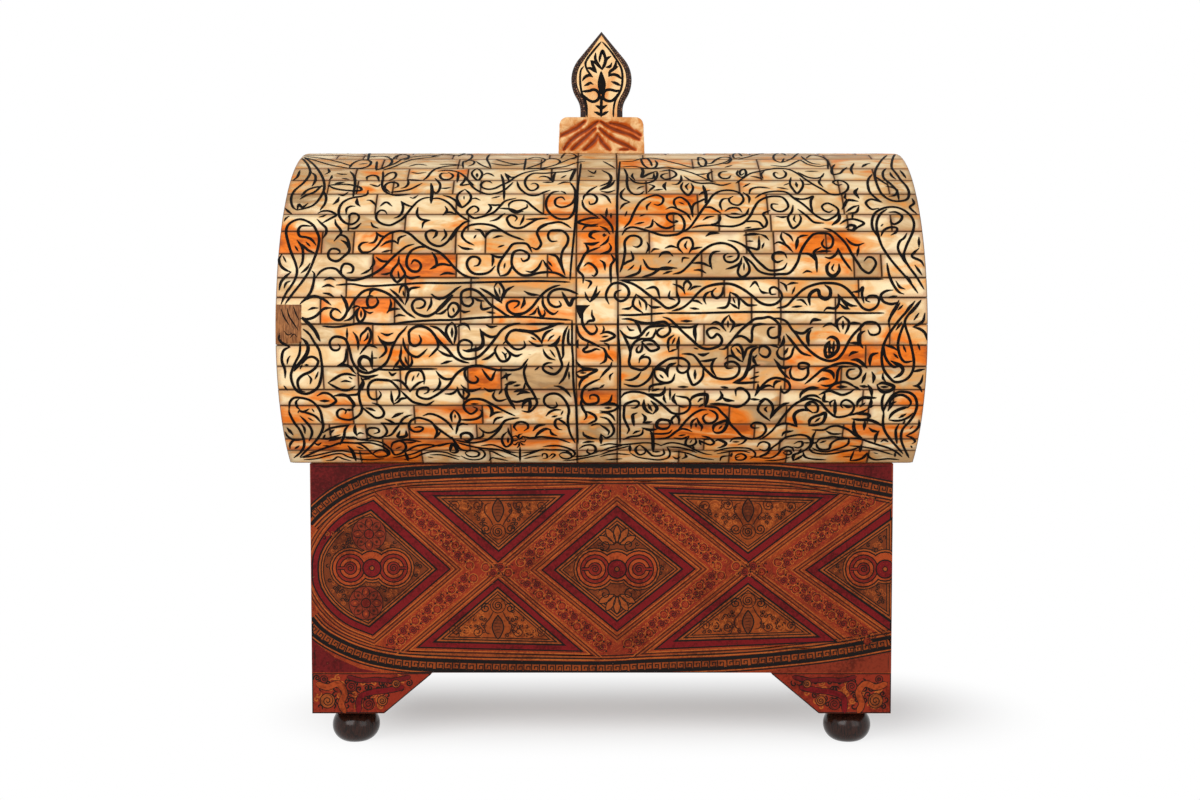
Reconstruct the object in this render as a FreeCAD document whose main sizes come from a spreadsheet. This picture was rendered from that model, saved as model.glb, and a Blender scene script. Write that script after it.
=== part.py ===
# Treasure chest: a barrel lid of bone tiles on wooden staves, hinged to a bracket-footed box on bun feet
import FreeCAD
import Part
import bisect
import math
import os

import Sketcher
from FreeCAD import Placement, Rotation, Vector

# Driving dimensions in millimetres, degrees or whole counts
sizes = {
    # barrel lid
    "lid_length": 360.0,
    "drum_radius": 112.5,
    "belly_drop": 98.0,
    "rim_drop": 73.0,
    "stave_count": 13,
    "courses_per_stave": 3,
    "stave_thick": 5.0,
    "rail_height": 14.0,
    "end_lap": 5.0,
    # bone tiles
    "bone_thick": 2.2,
    "tile_joint": 0.25,
    "tile_short": 15.0,
    "tile_long": 58.0,
    "course_taper": 0.22,
    "course_swing": 0.16,
    "course_wave": 2.4,
    "spine_width": 23.0,
    "spine_shift": -2.5,
    # seat of the lid on the base
    "seam_gap": 0.3,
    "rim_overhang": 2.0,
    "end_overhang": 11.0,
    # base box
    "base_height": 146.5,
    "panel_thick": 14.0,
    "bracket_height": 24.0,
    "bracket_toe": 41.8,
    "bracket_run": 28.6,
    "side_toe": 36.0,
    "side_run": 20.0,
    "floor_rise": 34.0,
    "floor_thick": 9.0,
    "floor_play": 0.3,
    "cleat_width": 10.0,
    "cleat_height": 10.0,
    "block_length": 30.0,
    "block_width": 26.0,
    "dowel_radius": 3.0,
    "dowel_length": 26.0,
    "dowel_sink": 9.0,
    "dowel_count": 3,
    "dowel_start": 21.5,
    "dowel_pitch": 40.0,
    "glue_gap": 0.05,
    # bun feet
    "foot_height": 20.5,
    "foot_radius": 14.0,
    "foot_belly": 9.0,
    "foot_pad_radius": 8.0,
    "foot_neck_radius": 9.5,
    "foot_neck_height": 2.5,
    "tenon_radius": 5.0,
    "tenon_length": 20.0,
    "foot_set_along": 8.4,
    "foot_set_across": 7.0,
    # stop hinges
    "hinge_span": 210.0,
    "hinge_length": 40.0,
    "leaf_thick": 1.2,
    "leaf_reach": 16.0,
    "knuckle_radius": 2.8,
    "knuckle_count": 5,
    "knuckle_gap": 0.25,
    "web_thick": 2.6,
    "pin_radius": 1.4,
    "pin_play": 0.05,
    "pin_tip_radius": 2.2,
    "pin_tip_length": 1.4,
    "stop_angle": 75.0,
    "stop_reach": 6.5,
    "stop_thick": 2.0,
    "stop_gap": 0.06,
    "screw_radius": 1.2,
    "screw_head_radius": 2.4,
    "screw_length": 9.0,
    "screw_point": 2.0,
    "screw_count": 3,
    "screw_pitch": 13.0,
    "screw_inset": 5.5,
    "recess_play": 0.1,
    # finial
    "block_bottom_width": 53.0,
    "block_top_width": 51.0,
    "block_depth": 28.0,
    "block_rise": 21.0,
    "block_skirt": 4.0,
    "block_round": 5.0,
    "bud_width": 37.2,
    "bud_height": 53.5,
    "bud_neck_width": 26.0,
    "bud_neck_rise": 5.0,
    "bud_belly_rise": 24.0,
    "bud_belly_radius": 20.0,
    "bud_thick": 9.0,
    "bud_bevel": 1.6,
    "face_inset": 3.4,
    "face_tip_inset": 2.8,
    "face_thick": 1.4,
    "peg_radius": 2.5,
    "peg_rise": 16.0,
}

# Places that follow from the driving dimensions
places = {
    "rim_half": "sizes.drum_radius*sqrt(1-(sizes.rim_drop/sizes.belly_drop)^2)",
    "base_half": "sizes.lid_length/2-sizes.end_overhang",
    "base_front": "layout.rim_half-sizes.rim_overhang",
    "inner_half": "layout.base_half-sizes.panel_thick",
    "inner_front": "layout.base_front-sizes.panel_thick",
    "base_top": "sizes.foot_height+sizes.base_height",
    "rim_level": "layout.base_top+sizes.seam_gap",
    "axis_level": "layout.rim_level+sizes.rim_drop",
    "crown_level": "layout.axis_level+sizes.drum_radius",
    "apron_level": "sizes.foot_height+sizes.bracket_height",
    "floor_level": "sizes.foot_height+sizes.floor_rise",
    "floor_half": "layout.inner_half-sizes.floor_play",
    "floor_front": "layout.inner_front-sizes.floor_play",
    "foot_along": "layout.inner_half-sizes.foot_set_along",
    "foot_across": "layout.inner_front-sizes.foot_set_across",
    "dowel_bottom": "layout.base_top-sizes.dowel_start-(sizes.dowel_count-1)*sizes.dowel_pitch",
    "hinge_across": "layout.base_front+sizes.knuckle_radius",
    "hinge_level": "layout.base_top-sizes.knuckle_radius",
    "knuckle_slot": "sizes.hinge_length/sizes.knuckle_count",
    "knuckle_room": "sizes.knuckle_radius+sizes.knuckle_gap",
    "end_thick": "sizes.end_overhang-sizes.bone_thick+sizes.end_lap",
    "shell_thick": "sizes.bone_thick+sizes.stave_thick",
    "block_top": "layout.crown_level+sizes.block_rise",
}

doc = FreeCAD.newDocument("treasure_chest")


def fillSheet(name, cells):
    sheet = doc.addObject("Spreadsheet::Sheet", name)
    for row, (alias, content) in enumerate(cells.items(), 1):
        sheet.set(f"A{row}", alias)
        sheet.setAlias(f"B{row}", alias)
        sheet.set(f"B{row}", content)
    doc.recompute()
    return sheet


sizeSheet = fillSheet("sizes", {alias: str(number) for alias, number in sizes.items()})
formulas = {alias: "=" + formula.replace("layout.", "") for alias, formula in places.items()}
layoutSheet = fillSheet("layout", formulas)


def size(alias):
    return float(sizeSheet.get(alias))


def place(alias):
    return float(layoutSheet.get(alias))


def value(expression):
    return float(layoutSheet.evalExpression(expression))


# Ways to draw, bind and combine

def bind(item, expressions):
    for path, expression in expressions.items():
        item.setExpression(path, expression)
    return item


def at(x, y, z):
    return {"Placement.Base.x": x, "Placement.Base.y": y, "Placement.Base.z": z}


def box(name, corner, extent):
    item = doc.addObject("Part::Box", name)
    return bind(item, {"Length": extent[0], "Width": extent[1], "Height": extent[2], **at(*corner)})


def rod(name, centre, radius, length, direction):
    item = doc.addObject("Part::Cylinder", name)
    item.Placement = Placement(Vector(), Rotation(Vector(0, 0, 1), direction))
    return bind(item, {"Radius": radius, "Height": length, **at(*centre)})


def compound(name, members):
    item = doc.addObject("Part::Compound", name)
    item.Links = members
    return item


def fuse(name, members):
    item = doc.addObject("Part::MultiFuse", name)
    item.Shapes = members
    return item


def cut(name, blank, tool):
    item = doc.addObject("Part::Cut", name)
    item.Base = blank
    item.Tool = tool
    return item


def feature(name, shape):
    item = doc.addObject("Part::Feature", name)
    item.Shape = shape
    item.Placement = Placement()
    return item


def sketchOn(body, name, role, offset="0"):
    sketch = body.newObject("Sketcher::SketchObject", name)
    plane = next(item for item in body.Origin.OriginFeatures if item.Role == role)
    sketch.AttachmentSupport = (plane, [""])
    sketch.MapMode = "FlatFace"
    sketch.setExpression("AttachmentOffset.Base.z", offset)
    return sketch


def pinPoint(sketch, element, end, point):
    for kind, expression in zip(("DistanceX", "DistanceY"), point):
        index = sketch.addConstraint(Sketcher.Constraint(kind, -1, 1, element, end, value(expression)))
        sketch.setExpression(f"Constraints[{index}]", expression)


def drawPolygon(sketch, corners):
    points = [Vector(value(x), value(y), 0) for x, y in corners]
    count = len(points)
    for i in range(count):
        sketch.addGeometry(Part.LineSegment(points[i], points[(i + 1) % count]), False)
    for i in range(count):
        sketch.addConstraint(Sketcher.Constraint("Coincident", i, 2, (i + 1) % count, 1))
    for i in range(count):
        pinPoint(sketch, i, 1, corners[i])


def pad(body, name, sketch, length, reverse=False, symmetric=False):
    item = body.newObject("PartDesign::Pad", name)
    item.Profile = sketch
    item.Reversed = reverse
    item.SideType = "Symmetric" if symmetric else "One side"
    return bind(item, {"Length": length})


def newBody(name):
    return doc.addObject("PartDesign::Body", name)


kept = []


def keep(item, label):
    item.Label = label
    kept.append(item)
    return item


sides = {"left": -1, "right": 1}
ends = {"front": -1, "back": 1}

# Corner dowels of the base, and their bores in the panels

def cornerDowels(name, slack):
    rods = []
    for side, along in sides.items():
        for end, across in ends.items():
            for row in range(int(size("dowel_count"))):
                start = f"layout.inner_front+sizes.dowel_sink+{slack}"
                centre = (
                    f"{along}*(layout.base_half-sizes.panel_thick/2)",
                    f"{across}*({start})",
                    f"layout.dowel_bottom+{row}*sizes.dowel_pitch",
                )
                rods.append(rod(
                    f"{name}_{side}_{end}_{row}", centre, f"sizes.dowel_radius+{slack}",
                    f"sizes.dowel_length+2*{slack}", Vector(0, -across, 0),
                ))
    return compound(name, rods)


keep(cornerDowels("corner_dowels", "0"), "corner_dowels")
dowelBores = cornerDowels("dowel_bores", "sizes.glue_gap")

# Screws with countersunk heads: the head's face at the origin, the point up

def screwForm(name, slack):
    body = newBody(name)
    sketch = sketchOn(body, name + "_half", "XZ_Plane")
    head = f"sizes.screw_head_radius+{slack}"
    shank = f"sizes.screw_radius+{slack}"
    neck = "(sizes.screw_head_radius-sizes.screw_radius)"
    drawPolygon(sketch, [
        ("0", "0"),
        (head, "0"),
        (shank, neck),
        (shank, f"sizes.screw_length-sizes.screw_point+{slack}"),
        ("0", f"sizes.screw_length+2*{slack}"),
    ])
    turn = body.newObject("PartDesign::Revolution", name + "_turn")
    turn.Profile = sketch
    turn.ReferenceAxis = (sketch, ["V_Axis"])
    turn.Angle = 360
    return body


screw = screwForm("screw", "0")
screwBore = screwForm("screw_bore", "sizes.glue_gap")
doc.recompute()


def screwSet(name, form, turn, across, level):
    shapes = []
    for along in sides.values():
        for step in range(int(size("screw_count"))):
            offset = (step - (size("screw_count") - 1) / 2) * size("screw_pitch")
            shape = form.Shape.copy()
            shape.Placement = Placement(Vector(along * size("hinge_span") / 2 + offset, across, level), turn)
            shapes.append(shape)
    return feature(name, Part.makeCompound(shapes))


baseScrewPlace = (
    Rotation(Vector(0, 0, 1), Vector(0, -1, 0)),
    place("base_front") + size("leaf_thick"),
    place("hinge_level") - size("leaf_reach") + size("screw_inset"),
)
lidScrewPlace = (
    Rotation(),
    place("hinge_across") - size("leaf_reach") + size("screw_inset"),
    place("rim_level"),
)
keep(screwSet("base_hinge_screws", screw, *baseScrewPlace), "hinge_screws_base")
keep(screwSet("lid_hinge_screws", screw, *lidScrewPlace), "hinge_screws_lid")
baseScrewBores = screwSet("base_screw_bores", screwBore, *baseScrewPlace)
lidScrewBores = screwSet("lid_screw_bores", screwBore, *lidScrewPlace)

# Base panels: boards with bracket feet sawn into their lower edges

def bracketBoard(name, role, half, toe, run, offset, reverse):
    body = newBody(name + "_board")
    sketch = sketchOn(body, name + "_outline", role, offset)
    drawPolygon(sketch, [
        (f"-({half})", "sizes.foot_height"),
        (f"-({toe})", "sizes.foot_height"),
        (f"-({toe}-{run})", "layout.apron_level"),
        (f"{toe}-{run}", "layout.apron_level"),
        (f"{toe}", "sizes.foot_height"),
        (f"{half}", "sizes.foot_height"),
        (f"{half}", "layout.base_top"),
        (f"-({half})", "layout.base_top"),
    ])
    pad(body, name + "_pad", sketch, "sizes.panel_thick", reverse)
    return body


longToe = "layout.base_half-sizes.bracket_toe"
sideToe = "layout.base_front-sizes.side_toe"
frontBoard = bracketBoard(
    "front", "XZ_Plane", "layout.base_half", longToe, "sizes.bracket_run", "layout.inner_front", False,
)
backBoard = bracketBoard(
    "back", "XZ_Plane", "layout.base_half", longToe, "sizes.bracket_run", "-layout.inner_front", True,
)
leftBoard = bracketBoard(
    "left", "YZ_Plane", "layout.inner_front", sideToe, "sizes.side_run", "-layout.inner_half", True,
)
rightBoard = bracketBoard(
    "right", "YZ_Plane", "layout.inner_front", sideToe, "sizes.side_run", "layout.inner_half", False,
)
backTools = compound("back_bores", [dowelBores, baseScrewBores])
keep(cut("front_panel", frontBoard, dowelBores), "front_panel")
keep(cut("back_panel", backBoard, backTools), "back_panel")
keep(cut("left_panel", leftBoard, dowelBores), "left_panel")
keep(cut("right_panel", rightBoard, dowelBores), "right_panel")

# Floor board on two cleats and four corner blocks
keep(box(
    "floor_board",
    ("-layout.floor_half", "-layout.floor_front", "layout.floor_level"),
    ("2*layout.floor_half", "2*layout.floor_front", "sizes.floor_thick"),
), "floor_board")

cleats = []
for end, across in ends.items():
    near = "-layout.inner_front" if across < 0 else "layout.inner_front-sizes.cleat_width"
    cleats.append(box(
        f"cleat_{end}",
        ("-(layout.inner_half-sizes.block_length)", near, "layout.floor_level-sizes.cleat_height"),
        ("2*(layout.inner_half-sizes.block_length)", "sizes.cleat_width", "sizes.cleat_height"),
    ))
keep(compound("floor_cleats", cleats), "floor_cleats")


# Bun feet: a turned bun with a neck and a tenon that enters its corner block

def bunProfile(sketch):
    sole = ("sizes.foot_pad_radius", "0")
    belly = ("sizes.foot_radius", "sizes.foot_belly")
    neck = ("sizes.foot_neck_radius", "sizes.foot_height-sizes.foot_neck_height")
    corners = [
        ("0", "0"), sole, belly, neck,
        ("sizes.foot_neck_radius", "sizes.foot_height"),
        ("sizes.tenon_radius", "sizes.foot_height"),
        ("sizes.tenon_radius", "sizes.foot_height+sizes.tenon_length"),
        ("0", "sizes.foot_height+sizes.tenon_length"),
    ]
    points = [Vector(value(x), value(y), 0) for x, y in corners]
    count = len(points)
    curves = {1: bellyArc(points[1], points[2]), 2: bellyArc(points[3], points[2])}
    for i in range(count):
        straight = Part.LineSegment(points[i], points[(i + 1) % count])
        sketch.addGeometry(curves.get(i, straight), False)
    for i in range(count):
        sketch.addConstraint(Sketcher.Constraint("Coincident", i, 2, (i + 1) % count, 1))
    for i in range(count):
        pinPoint(sketch, i, 1, corners[i])
    for arc in curves:
        index = sketch.addConstraint(Sketcher.Constraint("DistanceY", -1, 1, arc, 3, size("foot_belly")))
        sketch.setExpression(f"Constraints[{index}]", "sizes.foot_belly")


# An arc between a point of the bun and its widest point, where it stands upright
def bellyArc(point, widest):
    rise = point.y - widest.y
    inset = widest.x - point.x
    radius = (inset * inset + rise * rise) / (2 * inset)
    centre = Vector(widest.x - radius, widest.y, 0)
    circle = Part.Circle(centre, Vector(0, 0, 1), radius)
    angle = math.atan2(rise, point.x - centre.x)
    return Part.ArcOfCircle(circle, min(angle, 0), max(angle, 0))


for side, along in sides.items():
    for end, across in ends.items():
        foot = newBody(f"bun_foot_{end}_{side}")
        outline = sketchOn(foot, f"bun_{end}_{side}_half", "XZ_Plane")
        bunProfile(outline)
        turned = foot.newObject("PartDesign::Revolution", f"bun_{end}_{side}_turn")
        turned.Profile = outline
        turned.ReferenceAxis = (outline, ["V_Axis"])
        turned.Angle = 360
        bind(foot, at(f"{along}*layout.foot_along", f"{across}*layout.foot_across", "0"))
        keep(foot, f"bun_foot_{end}_{side}")

blocks = []
for side, along in sides.items():
    for end, across in ends.items():
        name = f"{end}_{side}"
        cornerX = "-layout.inner_half" if along < 0 else "layout.inner_half-sizes.block_length"
        cornerY = "-layout.inner_front" if across < 0 else "layout.inner_front-sizes.block_width"
        blank = box(
            f"block_{name}", (cornerX, cornerY, "sizes.foot_height"),
            ("sizes.block_length", "sizes.block_width", "sizes.floor_rise"),
        )
        bore = rod(
            f"tenon_bore_{name}",
            (f"{along}*layout.foot_along", f"{across}*layout.foot_across", "sizes.foot_height"),
            "sizes.tenon_radius+sizes.glue_gap", "sizes.tenon_length+sizes.glue_gap", Vector(0, 0, 1),
        )
        blocks.append(cut(f"corner_block_{name}", blank, bore))
keep(compound("corner_blocks", blocks), "corner_blocks")

# Stop hinges: an upright leaf on the back panel, a flat leaf under the lid's rim, and a pin

def knuckle(name, centre, index):
    start = f"{centre}-sizes.hinge_length/2+{index}*layout.knuckle_slot+sizes.knuckle_gap/2"
    length = "layout.knuckle_slot-sizes.knuckle_gap"
    barrel = rod(
        f"{name}_barrel_{index}", (start, "layout.hinge_across", "layout.hinge_level"),
        "sizes.knuckle_radius", length, Vector(1, 0, 0),
    )
    return barrel, start, length


def baseLeaf(name, centre, pinBore, screwHoles):
    left = f"{centre}-sizes.hinge_length/2"
    pieces = [box(
        f"{name}_plate", (left, "layout.base_front", "layout.hinge_level-sizes.leaf_reach"),
        ("sizes.hinge_length", "sizes.leaf_thick", "sizes.leaf_reach-layout.knuckle_room"),
    )]
    for index in range(0, int(size("knuckle_count")), 2):
        barrel, start, length = knuckle(name, centre, index)
        pieces.append(barrel)
        pieces.append(box(
            f"{name}_tab_{index}", (start, "layout.base_front", "layout.hinge_level-layout.knuckle_room"),
            (length, "sizes.leaf_thick", "layout.knuckle_room"),
        ))
    return cut(name, fuse(f"{name}_blank", pieces), compound(f"{name}_holes", [pinBore, screwHoles]))


def lidLeaf(name, centre, pinBore, screwHoles):
    left = f"{centre}-sizes.hinge_length/2"
    pieces = [box(
        f"{name}_plate", (left, "layout.hinge_across-sizes.leaf_reach", "layout.rim_level"),
        ("sizes.hinge_length", "sizes.leaf_reach+sizes.web_thick/2", "sizes.leaf_thick"),
    )]
    # The stop meets the upright leaf when the lid has turned by the stop angle
    bottom = "sizes.stop_reach"
    face = "(sizes.knuckle_radius-sizes.leaf_thick-sizes.stop_gap)"
    turn = "sizes.stop_angle"
    for index in range(1, int(size("knuckle_count")), 2):
        barrel, start, length = knuckle(name, centre, index)
        pieces.append(barrel)
        pieces.append(box(
            f"{name}_web_{index}", (start, "layout.hinge_across-sizes.web_thick/2", "layout.hinge_level"),
            (length, "sizes.web_thick", "sizes.knuckle_radius+sizes.seam_gap+sizes.leaf_thick/2"),
        ))
        stop = doc.addObject("Part::Box", f"{name}_stop_{index}")
        stop.Placement = Placement(Vector(), Rotation(Vector(1, 0, 0), size("stop_angle")))
        stopY = f"layout.hinge_across-{face}*cos({turn})+{bottom}*sin({turn})"
        stopZ = f"layout.hinge_level-{face}*sin({turn})-{bottom}*cos({turn})"
        bind(stop, {
            "Length": length, "Width": "sizes.stop_thick", "Height": bottom,
            "Placement.Rotation.Angle": turn, **at(start, stopY, stopZ),
        })
        pieces.append(stop)
    return cut(name, fuse(f"{name}_blank", pieces), compound(f"{name}_holes", [pinBore, screwHoles]))


recesses = []
for side, along in sides.items():
    middle = f"{along}*sizes.hinge_span/2"
    left = f"{middle}-sizes.hinge_length/2"
    pinBores = [
        rod(
            f"pin_bore_{leaf}_{side}", (left, "layout.hinge_across", "layout.hinge_level"),
            "sizes.pin_radius+sizes.pin_play", "sizes.hinge_length", Vector(1, 0, 0),
        )
        for leaf in ("base", "lid")
    ]
    keep(baseLeaf(f"base_leaf_{side}", middle, pinBores[0], baseScrewBores), f"hinge_leaf_base_{side}")
    keep(lidLeaf(f"lid_leaf_{side}", middle, pinBores[1], lidScrewBores), f"hinge_leaf_lid_{side}")
    tips = []
    for tip, start in (("near", f"{left}-sizes.pin_tip_length"), ("far", f"{left}+sizes.hinge_length")):
        tips.append(rod(
            f"pin_tip_{tip}_{side}", (start, "layout.hinge_across", "layout.hinge_level"),
            "sizes.pin_tip_radius", "sizes.pin_tip_length", Vector(1, 0, 0),
        ))
    shaft = rod(
        f"pin_shaft_{side}", (left, "layout.hinge_across", "layout.hinge_level"),
        "sizes.pin_radius", "sizes.hinge_length", Vector(1, 0, 0),
    )
    keep(fuse(f"hinge_pin_{side}", [shaft] + tips), f"hinge_pin_{side}")
    recesses.append(box(
        f"leaf_recess_{side}",
        (
            f"{left}-sizes.recess_play",
            "layout.hinge_across-sizes.leaf_reach-sizes.recess_play",
            "layout.rim_level-sizes.leaf_thick",
        ),
        (
            "sizes.hinge_length+2*sizes.recess_play",
            "2*sizes.leaf_reach",
            "2*sizes.leaf_thick+sizes.recess_play",
        ),
    ))
leafRecesses = compound("leaf_recesses", recesses)
finialBore = rod(
    "finial_bore", ("0", "0", "layout.crown_level-2*layout.shell_thick"), "sizes.peg_radius+sizes.glue_gap",
    "2*layout.shell_thick+sizes.block_rise+sizes.peg_rise+sizes.glue_gap", Vector(0, 0, 1),
)
doc.recompute()

# Section of the barrel: a half circle over a flatter half ellipse, cut level at the rim

def halfSection(steps=720):
    radius = size("drum_radius")
    lowest = math.asin(size("rim_drop") / size("belly_drop"))
    track = []
    for i in range(steps + 1):
        angle = math.pi / 2 - (math.pi / 2 + lowest) * i / steps
        height = radius if angle >= 0 else size("belly_drop")
        track.append((radius * math.cos(angle), place("axis_level") + height * math.sin(angle)))
    return track


# Edges of the courses from the front rim over the crown to the back rim, wider at the crown than at the rim
def courseEdges():
    track = halfSection()
    travel = [0.0]
    for (y0, z0), (y1, z1) in zip(track, track[1:]):
        travel.append(travel[-1] + math.hypot(y1 - y0, z1 - z0))
    reach = (int(size("stave_count") * size("courses_per_stave")) - 1) // 2
    widths = []
    for step in range(reach + 1):
        taper = 1 + size("course_taper") * (1 - 2 * step / reach)
        widths.append(taper * (1 + size("course_swing") * math.sin(size("course_wave") * step)))
    widths[0] = widths[0] / 2
    whole = sum(widths)
    half = []
    run = 0.0
    for width in widths:
        run += width / whole * travel[-1]
        i = min(bisect.bisect_left(travel, run - 1e-9), len(travel) - 1)
        part = (run - travel[i - 1]) / (travel[i] - travel[i - 1])
        half.append(tuple(a + (b - a) * part for a, b in zip(track[i - 1], track[i])))
    return [(-y, z) for y, z in reversed(half)] + half


# The same edges moved inwards by a depth, mitred at each edge and level at the rim
def inset(edges, depth):
    lines = []
    for (y0, z0), (y1, z1) in zip(edges, edges[1:]):
        length = math.hypot(y1 - y0, z1 - z0)
        lines.append(((y1 - y0) / length, (z1 - z0) / length))
    moved = []
    for i, (y, z) in enumerate(edges):
        ty, tz = lines[min(i, len(lines) - 1)]
        if 0 < i < len(lines):
            sy, sz = lines[i - 1]
            my, mz = sz + tz, -(sy + ty)
            scale = depth / (my * tz - mz * ty)
            moved.append((y + my * scale, z + mz * scale))
        else:
            moved.append((y + depth / tz, z))
    return moved


def prism(corners, start, stop):
    points = [Vector(start, y, z) for y, z in corners]
    face = Part.Face(Part.makePolygon(points + points[:1]))
    return face.extrude(Vector(stop - start, 0, 0))


edges = courseEdges()
boneBacks = inset(edges, size("bone_thick"))
perStave = int(size("courses_per_stave"))
staveCount = int(size("stave_count"))
staveBacks = inset(edges, place("shell_thick"))[::perStave]
boneEnd = size("lid_length") / 2
woodEnd = boneEnd - size("bone_thick")
boardFace = woodEnd - place("end_thick")

# Uneven tile lengths by the golden ratio, with a column of spine tiles along the crossing band
golden = (math.sqrt(5) - 1) / 2


def jointsBetween(start, stop, seed):
    joints = [start]
    step = 0
    while True:
        step += 1
        spread = (golden * (seed + step * step)) % 1
        reach = joints[-1] + size("tile_short") + (size("tile_long") - size("tile_short")) * spread
        if reach > stop - size("tile_short"):
            return joints + [stop]
        joints.append(reach)


def courseJoints(course):
    spineStart = size("spine_shift") - size("spine_width") / 2
    spineStop = size("spine_shift") + size("spine_width") / 2
    return jointsBetween(-boneEnd, spineStart, 7 * course) + jointsBetween(spineStop, boneEnd, 7 * course + 3)


def tileSection(course):
    half = size("tile_joint") / 2
    (y0, z0), (y1, z1) = edges[course], edges[course + 1]
    length = math.hypot(y1 - y0, z1 - z0)
    ty, tz = (y1 - y0) / length * half, (z1 - z0) / length * half
    low = 0 if course == 0 else 1
    high = 0 if course == len(edges) - 2 else 1
    (v0, w0), (v1, w1) = boneBacks[course], boneBacks[course + 1]
    return [
        (y0 + low * ty, z0 + low * tz), (y1 - high * ty, z1 - high * tz),
        (v1 - high * ty, w1 - high * tz), (v0 + low * ty, w0 + low * tz),
    ]


def courseTiles(course):
    half = size("tile_joint") / 2
    joints = courseJoints(course)
    tiles = []
    for start, stop in zip(joints, joints[1:]):
        left = start if start == -boneEnd else start + half
        right = stop if stop == boneEnd else stop - half
        tiles.append(prism(tileSection(course), left, right))
    return tiles


# Solids that a tool touches are cut by it, and the others stay as they are
def trimmed(solids, tools):
    result = []
    for solid in solids:
        for tool in tools:
            if solid.BoundBox.intersect(tool.BoundBox) and solid.common(tool).Volume > 0:
                solid = solid.cut(tool)
        result.extend(solid.Solids)
    return result


lidTools = leafRecesses.Shape.Solids + lidScrewBores.Shape.Solids + [finialBore.Shape]

for stave in range(staveCount):
    first = stave * perStave
    section = boneBacks[first:first + perStave + 1] + [staveBacks[stave + 1], staveBacks[stave]]
    wood = trimmed([prism(section, -woodEnd, woodEnd)], lidTools)
    keep(feature(f"stave_{stave + 1:02d}", Part.makeCompound(wood)), f"lid_stave_{stave + 1:02d}")
    tiles = []
    for course in range(first, first + perStave):
        tiles.extend(courseTiles(course))
    tiles = trimmed(tiles, lidTools)
    keep(feature(f"band_{stave + 1:02d}", Part.makeCompound(tiles)), f"bone_band_{stave + 1:02d}")

# End boards, and the rows of bone tiles that face them
endOutline = inset(edges, size("bone_thick") + size("tile_joint"))
rowCount = round((size("rim_drop") + size("drum_radius")) / (edges[staveCount * perStave // 2 + 1][0] * 2))


def endTiles(start, stop):
    whole = prism(endOutline, start, stop)
    bottom, top = whole.BoundBox.ZMin, whole.BoundBox.ZMax
    rowHeight = (top - bottom) / rowCount
    half = size("tile_joint") / 2
    tiles = []
    for row in range(rowCount):
        low = bottom + row * rowHeight + (half if row else 0)
        high = bottom + (row + 1) * rowHeight - (half if row < rowCount - 1 else 0)
        strip = Part.makeBox(
            stop - start, whole.BoundBox.YLength, high - low, Vector(start, whole.BoundBox.YMin, low),
        ).common(whole)
        extent = strip.BoundBox
        joints = jointsBetween(extent.YMin, extent.YMax, 5 * row + 2)
        for near, far in zip(joints, joints[1:]):
            near = near if near == extent.YMin else near + half
            far = far if far == extent.YMax else far - half
            piece = Part.makeBox(stop - start, far - near, high - low, Vector(start, near, low))
            tiles.extend(piece.common(strip).Solids)
    return tiles


for side, along in sides.items():
    inner, outer = sorted((along * boardFace, along * woodEnd))
    board = prism(staveBacks, inner, outer)
    keep(feature(f"end_board_{side}", board), f"lid_end_board_{side}")
    inner, outer = sorted((along * woodEnd, along * boneEnd))
    keep(feature(f"end_bone_{side}", Part.makeCompound(endTiles(inner, outer))), f"bone_end_{side}")

# Rim rails inside the lid, flush with the inner faces of the base
hollow = prism(staveBacks, -boardFace, boardFace)
for end, across in ends.items():
    near = min(across * place("inner_front"), across * size("drum_radius"))
    slab = Part.makeBox(
        2 * boardFace, size("drum_radius") - place("inner_front"), size("rail_height"),
        Vector(-boardFace, near, place("rim_level")),
    )
    rail = trimmed(slab.common(hollow).Solids, lidTools)
    keep(feature(f"rail_{end}", Part.makeCompound(rail)), f"lid_rail_{end}")

# Finial block, seated on the facets of the crown
barrel = feature("barrel_outside", prism(edges, -boneEnd, boneEnd))
blockBody = newBody("block_blank")
blockSketch = sketchOn(blockBody, "block_outline", "XZ_Plane")
drawPolygon(blockSketch, [
    ("-sizes.block_bottom_width/2", "layout.crown_level-sizes.block_skirt"),
    ("sizes.block_bottom_width/2", "layout.crown_level-sizes.block_skirt"),
    ("sizes.block_top_width/2", "layout.block_top"),
    ("-sizes.block_top_width/2", "layout.block_top"),
])
blockPad = pad(blockBody, "block_pad", blockSketch, "sizes.block_depth", symmetric=True)
doc.recompute()
shoulders = [
    f"Edge{i}" for i, edge in enumerate(blockPad.Shape.Edges, 1)
    if edge.BoundBox.ZMin > place("block_top") - 0.01 and edge.BoundBox.YLength > size("block_depth") / 2
]
shoulderRound = blockBody.newObject("PartDesign::Fillet", "block_shoulders")
shoulderRound.Base = (blockPad, shoulders)
bind(shoulderRound, {"Radius": "sizes.block_round"})
keep(cut("finial_block", blockBody, compound("block_tools", [barrel, finialBore])), "finial_block")

# Finial bud: an ogee leaf with a bevelled edge, faced with bone on both sides

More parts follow.
